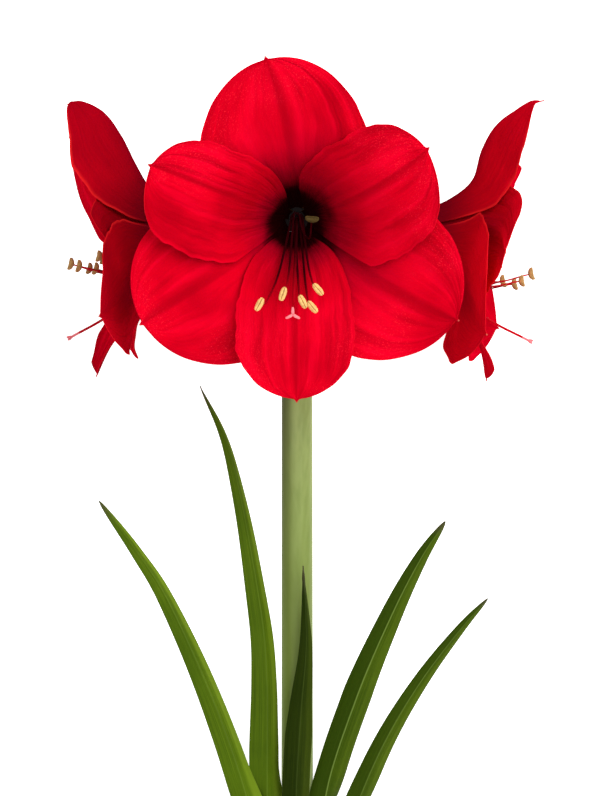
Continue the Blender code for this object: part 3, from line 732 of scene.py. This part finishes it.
def anther_material(name, pollen):
    material, shade = start_material(name, 0.15, 0.08, (0.001, 0.0008, 0.0004))
    grains = shade.noise(2600.0, 2.0)
    clumps = shade.noise(600.0, 3.0)
    furrow = shade.attribute("furrow") + clumps * 0.5 - 0.25
    furrow_tint_and_shade = tuple(level * part for level, part in zip(pollen, (0.30, 0.24, 0.12)))
    colour = shade.over(
        pollen,
        (clumps.between(0.4, 0.7) * 0.6, tuple(level * 0.6 for level in pollen)),
        (grains.between(0.6, 0.8) * 0.5, tuple(min(1.0, level * 1.25) for level in pollen)),
        # The furrow: its own darker brown, deepened as painted shade in the groove
        (furrow.between(0.3, 0.9) * 0.85, furrow_tint_and_shade),
    )
    return feed(material, colour, 0.8 + grains * 0.15, shade.bump(grains, 0.0002, 0.6))


def floor_material():
    """A white floor that glows, so that hardly any shadow shows on it."""
    material, shade = start_material("pale_floor", 0.1)
    tone = shade.noise(3.0, 2.0)
    colour = shade.over((0.93, 0.93, 0.93), (tone, (0.96, 0.96, 0.96)))
    shader = material.node_tree.nodes["Principled BSDF"]
    shader.inputs["Emission Strength"].default_value = 0.92
    shade.tree.links.new(colour.socket, shader.inputs["Emission Color"])
    return feed(material, colour, 0.8 + tone * 0.1)


# Geometry Nodes trees


def new_tree(name, inputs):
    """An empty tree with a geometry input and output, the named inputs and an input for the material."""
    tree = bpy.data.node_groups.new(name, "GeometryNodeTree")
    tree.interface.new_socket("Geometry", in_out="OUTPUT", socket_type="NodeSocketGeometry")
    for label, kind in {"Geometry": "Geometry", **inputs, "Material": "Material"}.items():
        tree.interface.new_socket(label, in_out="INPUT", socket_type=f"NodeSocket{kind}")
    return tree, tree.nodes.new("NodeGroupInput")


def link_nodes(tree, *links):
    """Links nodes, each time as node, its output, the next node and its input."""
    for start, output, end, entry in links:
        tree.links.new(start.outputs[output], end.inputs[entry])


def finish_tree(tree, source, last, output):
    """Realize Instances and Set Material close every tree."""
    realize = tree.nodes.new("GeometryNodeRealizeInstances")
    paint = tree.nodes.new("GeometryNodeSetMaterial")
    link_nodes(
        tree,
        (last, output, realize, "Geometry"),
        (realize, "Geometry", paint, "Geometry"),
        (source, "Material", paint, "Material"),
        (paint, "Geometry", tree.nodes.new("NodeGroupOutput"), "Geometry"),
    )
    return tree


def thread_tree():
    """Round threads along every spline of a curve, as thick as the curve's own radius says."""
    tree, source = new_tree("thread_along_curve", {"Thickness": "Float", "Sides": "Int"})
    ring = tree.nodes.new("GeometryNodeCurvePrimitiveCircle")
    thread = tree.nodes.new("GeometryNodeCurveToMesh")
    thread.inputs["Fill Caps"].default_value = True
    link_nodes(
        tree,
        (source, "Sides", ring, "Resolution"),
        (source, "Thickness", ring, "Radius"),
        (source, "Geometry", thread, "Curve"),
        (ring, "Curve", thread, "Profile Curve"),
        (tree.nodes.new("GeometryNodeInputRadius"), "Radius", thread, "Scale"),
    )
    return finish_tree(tree, source, thread, "Mesh")


def pollen_tree():
    """Pollen grains scattered over an anther."""
    inputs = {"Grain Density": "Float", "Grain Radius": "Float", "Seed": "Int"}
    tree, source = new_tree("pollen_on_anther", inputs)
    scatter = tree.nodes.new("GeometryNodeDistributePointsOnFaces")
    grain = tree.nodes.new("GeometryNodeMeshIcoSphere")
    place = tree.nodes.new("GeometryNodeInstanceOnPoints")
    size = tree.nodes.new("FunctionNodeRandomValue")
    join = tree.nodes.new("GeometryNodeJoinGeometry")
    grain.inputs["Subdivisions"].default_value = 1
    size.inputs[2].default_value, size.inputs[3].default_value = GRAIN_SIZES
    link_nodes(
        tree,
        (source, "Geometry", scatter, "Mesh"),
        (source, "Grain Density", scatter, "Density"),
        (source, "Seed", scatter, "Seed"),
        (source, "Grain Radius", grain, "Radius"),
        (scatter, "Points", place, "Points"),
        (grain, "Mesh", place, "Instance"),
        (size, 1, place, "Scale"),
        (source, "Geometry", join, "Geometry"),
        (place, "Instances", join, "Geometry"),
    )
    return finish_tree(tree, source, join, "Geometry")


def grown_mesh(name, host, tree, values):
    """The plain mesh that a tree makes on a host object, which is then removed with its modifier."""
    modifier = host.modifiers.new("Growth", "NODES")
    modifier.node_group = tree
    for item in tree.interface.items_tree:
        if item.in_out == "INPUT" and item.name in values:
            modifier[item.identifier] = values[item.name]
    bpy.context.view_layer.update()
    evaluated = host.evaluated_get(bpy.context.evaluated_depsgraph_get())
    mesh = bpy.data.meshes.new_from_object(evaluated)
    mesh.name = name
    host.modifiers.remove(modifier)
    bpy.data.objects.remove(host, do_unlink=True)
    return mesh


# Pieces


def make_tepal(bloom, place, material):
    along, across = sheet_grid(BLOOMS[bloom]["rows"], BLOOMS[bloom]["columns"])
    middle, share = tepal_surface(TEPALS[bloom][place], along, across)
    thinning = TEPAL_EDGE_THINNING * np.abs(across) ** 4 * smooth_step(0.3, 0.6, share)
    thickness = (TEPAL_THICKNESS - thinning) * MM
    name = f"{bloom}_{place}_tepal_petal"
    mesh = sheet_mesh(name, bloom_to_world(bloom, middle), thickness, across, share)
    mark_points(mesh, "throat", np.full(len(mesh.vertices), THROAT_SHARES[place]))
    # How light the backs are painted: below one is painted shade
    mark_points(mesh, "tone", np.full(len(mesh.vertices), BLOOM_BACK_PAINTED_LIGHT[bloom]))
    add_piece(name, mesh, material, f"{bloom}_tepal_{place}", 70)


def make_leaf(name, material):
    along, across = sheet_grid(*LEAF_GRID)
    middle = to_world(leaf_surface(LEAVES[name], along, across))
    thinning = LEAF_EDGE_THINNING * across**2 * smooth_step(0.0, 0.15, along)
    thickness = (LEAF_THICKNESS - thinning) * (1.0 - 0.5 * along) * MM
    mesh = sheet_mesh(f"{name}_blade", middle, thickness, across, along)
    add_piece(f"{name}_blade", mesh, material, name, 70)


def make_bract(name, material):
    along, across = sheet_grid(*BRACT_GRID)
    middle = to_world(bract_surface(BRACT_AZIMUTHS[name], along, across))
    thickness = np.full(along.shape, BRACT_THICKNESS * MM)
    mesh = sheet_mesh(f"{name}_sheet", middle, thickness, across, along)
    add_piece(f"{name}_sheet", mesh, material, name, 70)


def make_scape():
    """The scape with faint ridges that turn slowly along it, open at the cut, its hollow lined with pith."""
    inner = SCAPE_RADIUS_LOW - bpy.context.scene.amaryllis_leaf.scape_wall / MM
    profile = [(0.05, HOLLOW_DEPTH), (inner * 0.7, HOLLOW_DEPTH - 1.0), (inner, HOLLOW_DEPTH - 6.0)]
    profile += [(inner, 1.0), (inner + 0.4, 0.15)]
    profile += [(SCAPE_RADIUS_LOW - 0.5, 0.0), (SCAPE_RADIUS_LOW - 0.12, 0.3)]
    for height in np.linspace(4.0, SCAPE_LENGTH - 1.0, 60):
        narrower = (SCAPE_RADIUS_TOP - SCAPE_RADIUS_LOW) * height / SCAPE_LENGTH
        profile.append((SCAPE_RADIUS_LOW + narrower - 0.16, height))
    profile += [(SCAPE_RADIUS_TOP - 0.8, SCAPE_LENGTH), (0.05, SCAPE_LENGTH)]
    angles = full_turn(96)
    rings = []
    for radius, height in profile:
        ridges = 0.10 * np.cos(9 * angles + height * 0.004) + 0.06 * np.cos(5 * angles - height * 0.006)
        rings.append(round_scape(radius + ridges * (radius > 1.0), height, angles))
    mesh = round_mesh("scape_column", to_world(rings))
    add_piece("scape_column", mesh, scape_material(), "scape", 50)
    mesh.materials.append(pith_material())
    low = to_world((0.0, 1.2, 0.0))
    up = REST_TURN @ np.array((0.0, 1.0, 0.0))
    for face in mesh.polygons:
        centre = np.array(face.center) - low
        reach = np.linalg.norm(centre - up * np.dot(centre, up)) / MM
        if np.dot(centre, up) < (HOLLOW_DEPTH + 1.0) * MM and reach < SCAPE_RADIUS_LOW - 0.4:
            face.material_index = 1


def make_stalk(bloom, material):
    """A stalk that swells into an ovary of three faint lobes."""
    base, axes = bloom_axes(bloom)
    forward = axes[2]
    out = unit(np.array((base[0], 0.0, base[2])))
    rise = np.array((0.0, 6.0, 0.0))
    foot = out * STALK_FOOT + (0.0, SCAPE_LENGTH + THIN_GAP, 0.0)
    neck = base - forward * OVARY_LENGTH
    bend = (foot + neck) / 2 + rise - out * 3.0
    shares = np.linspace(0, 1, 26)[1:]
    stalk = spline([foot, foot + rise + out, bend, neck], np.linspace(0, 1, 40))
    path = np.vstack([stalk, neck + forward * OVARY_LENGTH * shares[:, None]])
    swell = STALK_RADIUS + (OVARY_RADIUS - STALK_RADIUS) * np.sin(shares * math.pi / 2) ** 0.8
    radii = np.concatenate([np.full(len(stalk), STALK_RADIUS), swell])
    lobes = np.concatenate([np.zeros(len(stalk)), -0.07 * np.sin(shares * math.pi)])
    tangents = unit(np.gradient(path, axis=0))
    across = unit(np.cross(tangents[0], (0.3, 0.1, 1.0)))
    angles = full_turn(48)
    rings = []
    for place, ahead, radius, lobe in zip(path, tangents, radii, lobes):
        across = unit(across - ahead * np.dot(across, ahead))
        spokes = across * np.cos(angles)[:, None] + np.cross(ahead, across) * np.sin(angles)[:, None]
        rings.append(place + (radius * (1.0 + lobe * np.cos(3 * angles)))[:, None] * spokes)
    name = f"{bloom}_stalk_and_ovary"
    mesh = round_mesh(name, to_world(rings), turned=True)
    mark_points(mesh, "share", np.repeat(np.linspace(0, 1, len(path)), len(angles)))
    add_piece(name, mesh, material, f"{bloom}_stalk_with_ovary", 50)


def filament_path(bloom, index):
    """From the ring, down with the lower side of the tube and up again to the anther."""
    x, y, forward = ANTHER_ENDS[bloom][index]
    azimuth = math.radians(60 * index)
    foot = np.array((RING_RADIUS * math.cos(azimuth), RING_RADIUS * math.sin(azimuth), RING_FORWARD))
    low = (x * 0.42 + foot[0] * 0.6, min(y * 0.5, 0.0) - FILAMENT_SAG + foot[1] * 0.5, forward * 0.48)
    late = (x * 0.8 + foot[0] * 0.3, min(y * 0.85, 0.0) - FILAMENT_SAG + foot[1] * 0.4, forward * 0.78)
    return [foot, foot + (0.0, 0.0, 9.0), low, late, (x, y, forward)]


def style_path(bloom):
    x, y, forward = STYLE_ENDS[bloom]
    low = (x * 0.3, y * 0.36, 32.0)
    late = (x * 0.7, y * 0.78, 64.0)
    return [(0.0, 0.0, THIN_GAP), (0.0, -0.3, THIN_GAP + 8.0), low, late, (x, y, forward)]


def add_thread(host, bloom, points, radii, cyclic=False):
    """A line of the host curve through points of the bloom's frame, each with its share of the thickness."""
    points = bloom_to_world(bloom, points)
    line = host.data.splines.new("POLY")
    line.points.add(len(points) - 1)
    line.points.foreach_set("co", np.hstack([points, np.ones((len(points), 1))]).ravel())
    line.points.foreach_set("radius", np.asarray(radii, float))
    line.use_cyclic_u = cyclic


def thread_host(name):
    curve = bpy.data.curves.new(name, "CURVE")
    curve.dimensions = "3D"
    return link_object(name, curve)


def mesh_points(mesh):
    return np.array([tuple(vertex.co) for vertex in mesh.vertices])


def make_filaments(bloom, tree, material):
    host = thread_host(f"{bloom}_filament_curves")
    turns = full_turn(RING_SIDES)
    depths = np.full(RING_SIDES, RING_FORWARD)
    ring = np.stack([RING_RADIUS * np.cos(turns), RING_RADIUS * np.sin(turns), depths], 1)
    add_thread(host, bloom, ring, np.full(RING_SIDES, RING_THICKNESS / FILAMENT_RADIUS), True)
    shares = np.linspace(0, 1, 60)
    for index in range(len(ANTHER_ENDS[bloom])):
        wander = np.sin(shares * math.pi)[:, None] * np.sin(shares * 9 + index)[:, None] * 0.25
        points = spline(filament_path(bloom, index), shares) + wander * (1.0, 0.6, 0.0)
        points = np.vstack([points, points[-1] + unit(points[-1] - points[-2]) * INTO_FURROW])
        add_thread(host, bloom, points, np.append(1.0 - 0.4 * shares, 0.6))
    values = {"Thickness": FILAMENT_RADIUS * MM, "Sides": 14, "Material": material}
    name = f"{bloom}_filament_threads"
    mesh = grown_mesh(name, host, tree, values)
    base, axes = bloom_axes(bloom)
    depth = (mesh_points(mesh) - to_world(base)) @ (REST_TURN @ axes[2]) / MM
    # Depth along the bloom: the material paints shade where it is low, near the throat
    mark_points(mesh, "share", depth / PINK_AT_DEPTH)
    add_piece(name, mesh, material, f"{bloom}_filaments", 60)


def make_pistil(bloom, tree, material):
    host = thread_host(f"{bloom}_pistil_curves")
    shares = np.linspace(0, 1, 70)
    path = spline(style_path(bloom), shares)
    tip, heading, spread = path[-1], unit(path[-1] - path[-4]), STIGMA_SPREAD[bloom]
    add_thread(host, bloom, path, 1.0 - 0.25 * shares)
    lobe_shares = np.linspace(0, 1, 16)
    swell = 0.5 + 0.35 * np.sin(lobe_shares * math.pi) ** 0.7
    swell[-1] = 0.35
    for lobe in range(3):
        turn = math.radians(90 + 120 * lobe)
        out = np.array((math.cos(turn), math.sin(turn), 0.0))
        out = unit(out - heading * np.dot(out, heading))
        middle = tip + (out * spread * 0.6 + heading * 0.25) * STIGMA_LOBE * 0.6
        end = tip + (out * spread + heading * (0.8 - spread * 0.7)) * STIGMA_LOBE
        add_thread(host, bloom, spline([tip - heading * 0.5, middle, end], lobe_shares), swell)
    values = {"Thickness": STYLE_RADIUS * MM, "Sides": 16, "Material": material}
    name = f"{bloom}_style_and_stigma"
    mesh = grown_mesh(name, host, tree, values)
    reach = np.linalg.norm(mesh_points(mesh) - bloom_to_world(bloom, tip), axis=1) / MM
    near_tip = 1.0 - smooth_step(STIGMA_LOBE * 1.05, STIGMA_LOBE * 1.5, reach)
    # The share falls towards the throat, where the material paints shade
    mark_points(mesh, "share", np.maximum(near_tip, 0.68 - reach / 190.0))
    add_piece(name, mesh, material, f"{bloom}_pistil", 60)


def anther_surface(turns, along):
    """Two pollen sacs side by side, curved like a bean: a closed grid round the long axis."""
    lengthwise = np.cos(along * math.pi)
    girth = np.sin(along * math.pi) ** 0.62
    groove = 1.0 - 0.34 * np.exp(-(np.sin(turns) ** 2) / 0.05)
    x = ANTHER_RADIUS * (0.96 * girth * np.cos(turns) * groove + 0.55 * lengthwise**2)
    y = ANTHER_RADIUS * 0.96 * girth * np.sin(turns)
    return np.stack([x, y, lengthwise * ANTHER_LENGTH / 2], -1)


def make_anther(bloom, index, tree, material):
    name = f"{bloom}_pollen_anther_{index + 1}"
    path = spline(filament_path(bloom, index), np.array((0.97, 1.0)))
    heading = unit(path[1] - path[0])
    slant = math.radians(ANTHER_SLANTS[bloom][index])
    axis = unit(np.array((math.cos(slant), math.sin(slant), 0.25)))
    axis = unit(axis - heading * np.dot(axis, heading))
    centre = path[1] + heading * (ANTHER_RADIUS + THIN_GAP)
    rings, sides = ANTHER_GRID
    along, turns = np.meshgrid(np.linspace(0.02, 0.98, rings), full_turn(sides), indexing="ij")
    points = centre + anther_surface(turns, along) @ np.stack([heading, np.cross(axis, heading), axis])
    mesh = round_mesh(name, bloom_to_world(bloom, points))
    mark_points(mesh, "furrow", np.exp(-(np.sin(turns) ** 2) / 0.03).ravel())
    mesh.shade_smooth()
    settings = bpy.context.scene.amaryllis_stamen
    values = {
        "Grain Density": settings.grain_density,
        "Grain Radius": settings.grain_radius,
        "Seed": 11 * index + len(bloom),
        "Material": material,
    }
    grown = grown_mesh(name, link_object(name + "_sacs", mesh), tree, values)
    add_piece(name, grown, material, f"{bloom}_anther_{index + 1}", 60)


def make_area_light(name, place, size, power, colour):
    """A square soft light, placed in the plant's frame and aimed at the blooms."""
    light = bpy.data.lights.new(name, "AREA")
    light.shape = "SQUARE"
    light.size = size
    light.energy = power
    light.color = colour
    holder = link_object(name, light)
    start, end = Vector(to_world(place)), Vector(to_world(LIGHT_AIM))
    holder.location = start
    holder.rotation_euler = (end - start).to_track_quat("-Z", "Y").to_euler()


def make_camera():
    """The photograph's view: square to the plant's own front, with the picture's centre on its axis."""
    width, height = PICTURE
    across = (width / 2 - SCAPE_AT_PIXEL[0]) * PIXEL
    up = (SCAPE_AT_PIXEL[1] - height / 2) * PIXEL
    data = bpy.data.cameras.new("view_camera")
    data.sensor_width = SENSOR
    data.lens = SENSOR * VIEW_DISTANCE / (height * PIXEL)
    data.clip_start = 0.01
    data.clip_end = 100.0
    holder = link_object("view_camera", data)
    holder.location = Vector(to_world((across, up, VIEW_DISTANCE)))
    holder.rotation_euler = (REST_PITCH, REST_ROLL, 0.0)
    bpy.context.scene.camera = holder


def make_floor(material):
    mesh = bpy.data.meshes.new("studio_floor")
    reach = bpy.context.scene.amaryllis_stage.floor_reach
    corners = [(-reach, -reach, 0.0), (reach, -reach, 0.0), (reach, reach, 0.0), (-reach, reach, 0.0)]
    mesh.from_pydata(corners, [], [(0, 1, 2, 3)])
    mesh.materials.append(material)
    link_object("studio_floor", mesh)


def make_world(strength):
    world = bpy.data.worlds.new("studio_world")
    world.use_nodes = True
    background = world.node_tree.nodes["Background"]
    background.inputs["Color"].default_value = (1.0, 1.0, 1.0, 1.0)
    background.inputs["Strength"].default_value = strength
    bpy.context.scene.world = world


# Settings that a user would change


class AmaryllisBloomSettings(bpy.types.PropertyGroup):
    red: FloatVectorProperty(
        name="Red", description="Main colour of the tepals", subtype="COLOR", default=(0.56, 0.0001, 0.0105)
    )
    # Also laid in the tepals' folds and creases as painted shade
    deep_red: FloatVectorProperty(
        name="Deep red", description="Colour of the veins", subtype="COLOR", default=(0.27, 0.0001, 0.0045)
    )
    bright_red: FloatVectorProperty(
        name="Bright red", description="Colour where light catches", subtype="COLOR",
        default=(0.76, 0.0008, 0.021),
    )
    throat_reach: FloatProperty(
        name="Throat reach", description="Share of a tepal that the dark throat covers",
        default=0.42, min=0.15, max=0.7,
    )


class AmaryllisStamenSettings(bpy.types.PropertyGroup):
    pollen: FloatVectorProperty(
        name="Pollen", description="Colour of the pollen", subtype="COLOR", default=(0.80, 0.47, 0.17)
    )
    # Its own greenish colour, darkened further as painted shade deep in the throat
    closed_shaded_anther: FloatVectorProperty(
        name="Closed anther", description="Colour of the anther that is still shut", subtype="COLOR",
        default=(0.06, 0.038, 0.008),
    )
    grain_radius: FloatProperty(
        name="Grain radius", description="Radius of a clump of pollen", unit="LENGTH", default=0.00016
    )
    grain_density: FloatProperty(
        name="Grain density", description="Clumps of pollen to the square metre", default=3200000.0
    )


class AmaryllisLeafSettings(bpy.types.PropertyGroup):
    green: FloatVectorProperty(
        name="Green", description="Main colour of the leaves", subtype="COLOR", default=(0.064, 0.108, 0.003)
    )
    dark_green: FloatVectorProperty(
        name="Dark green", description="Colour between the veins", subtype="COLOR",
        default=(0.022, 0.046, 0.001),
    )
    scape_green: FloatVectorProperty(
        name="Scape green", description="Main colour of the flower stem", subtype="COLOR",
        default=(0.30, 0.375, 0.125),
    )
    scape_wall: FloatProperty(
        name="Scape wall", description="Thickness of the stem's wall at the cut", unit="LENGTH",
        default=0.0032,
    )


class AmaryllisStageSettings(bpy.types.PropertyGroup):
    floor_reach: FloatProperty(
        name="Floor reach", description="Half the floor's side", unit="LENGTH", default=6.0
    )
    world_light: FloatProperty(
        name="World light", description="Strength of the light all round", default=0.14
    )
    key_power: FloatProperty(
        name="Key power", description="Power of the main light", unit="POWER", default=26.0
    )
    fill_power: FloatProperty(
        name="Fill power", description="Power of the fill light", unit="POWER", default=9.0
    )


class AMARYLLIS_OT_scape(bpy.types.Operator):
    """Makes the scape with its hollow cut end"""

    bl_idname = "amaryllis.scape"
    bl_label = "Scape"

    def execute(self, context):
        make_scape()
        return {"FINISHED"}


class AMARYLLIS_OT_stalks(bpy.types.Operator):
    """Makes each bloom's stalk and ovary"""

    bl_idname = "amaryllis.stalks"
    bl_label = "Stalks"

    def execute(self, context):
        material = stalk_material()
        for bloom in BLOOMS:
            make_stalk(bloom, material)
        return {"FINISHED"}


class AMARYLLIS_OT_bracts(bpy.types.Operator):
    """Makes the withered bracts under the blooms"""

    bl_idname = "amaryllis.bracts"
    bl_label = "Bracts"

    def execute(self, context):
        material = bract_material()
        for name in BRACT_AZIMUTHS:
            make_bract(name, material)
        return {"FINISHED"}


class AMARYLLIS_OT_tepals(bpy.types.Operator):
    """Makes the six tepals of each bloom"""

    bl_idname = "amaryllis.tepals"
    bl_label = "Tepals"

    def execute(self, context):
        material = tepal_material()
        for bloom, places in TEPALS.items():
            for place in places:
                make_tepal(bloom, place, material)
        return {"FINISHED"}


class AMARYLLIS_OT_stamens(bpy.types.Operator):
    """Makes the filaments and the anthers with their pollen"""

    bl_idname = "amaryllis.stamens"
    bl_label = "Stamens"

    def execute(self, context):
        threads, pollen = thread_tree(), pollen_tree()
        red = thread_material()
        settings = context.scene.amaryllis_stamen
        cream = anther_material("anther_pollen", tuple(settings.pollen))
        # A darker copy of the pollen for the side blooms' anthers: painted shade
        pollen_in_painted_shade = anther_material("anther_pollen_painted_shade", tuple(level * 0.55 for level in settings.pollen))
        # The shut anther's colour, darkened as painted shade
        closed = anther_material("anther_closed_shaded", tuple(settings.closed_shaded_anther))
        for bloom, ends in ANTHER_ENDS.items():
            make_filaments(bloom, threads, red)
            for index in range(len(ends)):
                material = cream if bloom == "front" else pollen_in_painted_shade
                make_anther(bloom, index, pollen, closed if (bloom, index) == CLOSED_SHADED_ANTHER else material)
        return {"FINISHED"}


class AMARYLLIS_OT_pistils(bpy.types.Operator):
    """Makes each bloom's style and its stigma of three lobes"""

    bl_idname = "amaryllis.pistils"
    bl_label = "Pistils"

    def execute(self, context):
        threads = thread_tree()
        material = thread_material()
        for bloom in STYLE_ENDS:
            make_pistil(bloom, threads, material)
        return {"FINISHED"}


class AMARYLLIS_OT_leaves(bpy.types.Operator):
    """Makes the strap leaves"""

    bl_idname = "amaryllis.leaves"
    bl_label = "Leaves"

    def execute(self, context):
        for name, looks in LEAF_LOOKS.items():
            make_leaf(name, leaf_material(f"{name}_green", *looks))
        return {"FINISHED"}


class AMARYLLIS_OT_stage(bpy.types.Operator):
    """Makes the floor, the studio lights and the camera"""

    bl_idname = "amaryllis.stage"
    bl_label = "Stage"

    def execute(self, context):
        settings = context.scene.amaryllis_stage
        make_floor(floor_material())
        make_world(settings.world_light)
        make_area_light("key_light", KEY_PLACE, 1.2, settings.key_power, (1.0, 0.99, 0.97))
        make_area_light("fill_light", FILL_PLACE, 1.0, settings.fill_power, (0.98, 0.99, 1.0))
        make_camera()
        context.scene.view_settings.view_transform = "Standard"
        context.scene.view_settings.look = "None"
        return {"FINISHED"}


class AMARYLLIS_PT_panel(bpy.types.Panel):
    """Lists the steps and settings in the sidebar"""

    bl_label = "Amaryllis"
    bl_idname = "AMARYLLIS_PT_panel"
    bl_space_type = "VIEW_3D"
    bl_region_type = "UI"
    bl_category = "Amaryllis"

    def draw(self, context):
        for step in STEPS:
            self.layout.operator(f"amaryllis.{step}")
        for group in SETTINGS:
            settings = getattr(context.scene, group)
            for name in settings.bl_rna.properties.keys():
                if name not in ("rna_type", "name"):
                    self.layout.prop(settings, name)


STEPS = ("scape", "stalks", "bracts", "tepals", "stamens", "pistils", "leaves", "stage")
SETTINGS = {
    "amaryllis_bloom": AmaryllisBloomSettings,
    "amaryllis_stamen": AmaryllisStamenSettings,
    "amaryllis_leaf": AmaryllisLeafSettings,
    "amaryllis_stage": AmaryllisStageSettings,
}
OPERATORS = (
    AMARYLLIS_OT_scape,
    AMARYLLIS_OT_stalks,
    AMARYLLIS_OT_bracts,
    AMARYLLIS_OT_tepals,
    AMARYLLIS_OT_stamens,
    AMARYLLIS_OT_pistils,
    AMARYLLIS_OT_leaves,
    AMARYLLIS_OT_stage,
)


def register():
    for kind in (*SETTINGS.values(), *OPERATORS, AMARYLLIS_PT_panel):
        bpy.utils.register_class(kind)
    for name, kind in SETTINGS.items():
        setattr(bpy.types.Scene, name, PointerProperty(type=kind))


def unregister():
    for name in SETTINGS:
        delattr(bpy.types.Scene, name)
    for kind in (AMARYLLIS_PT_panel, *reversed(OPERATORS), *reversed(SETTINGS.values())):
        bpy.utils.unregister_class(kind)


def main():
    register()
    for step in STEPS:
        getattr(bpy.ops.amaryllis, step)()


if __name__ == "__main__":
    main()
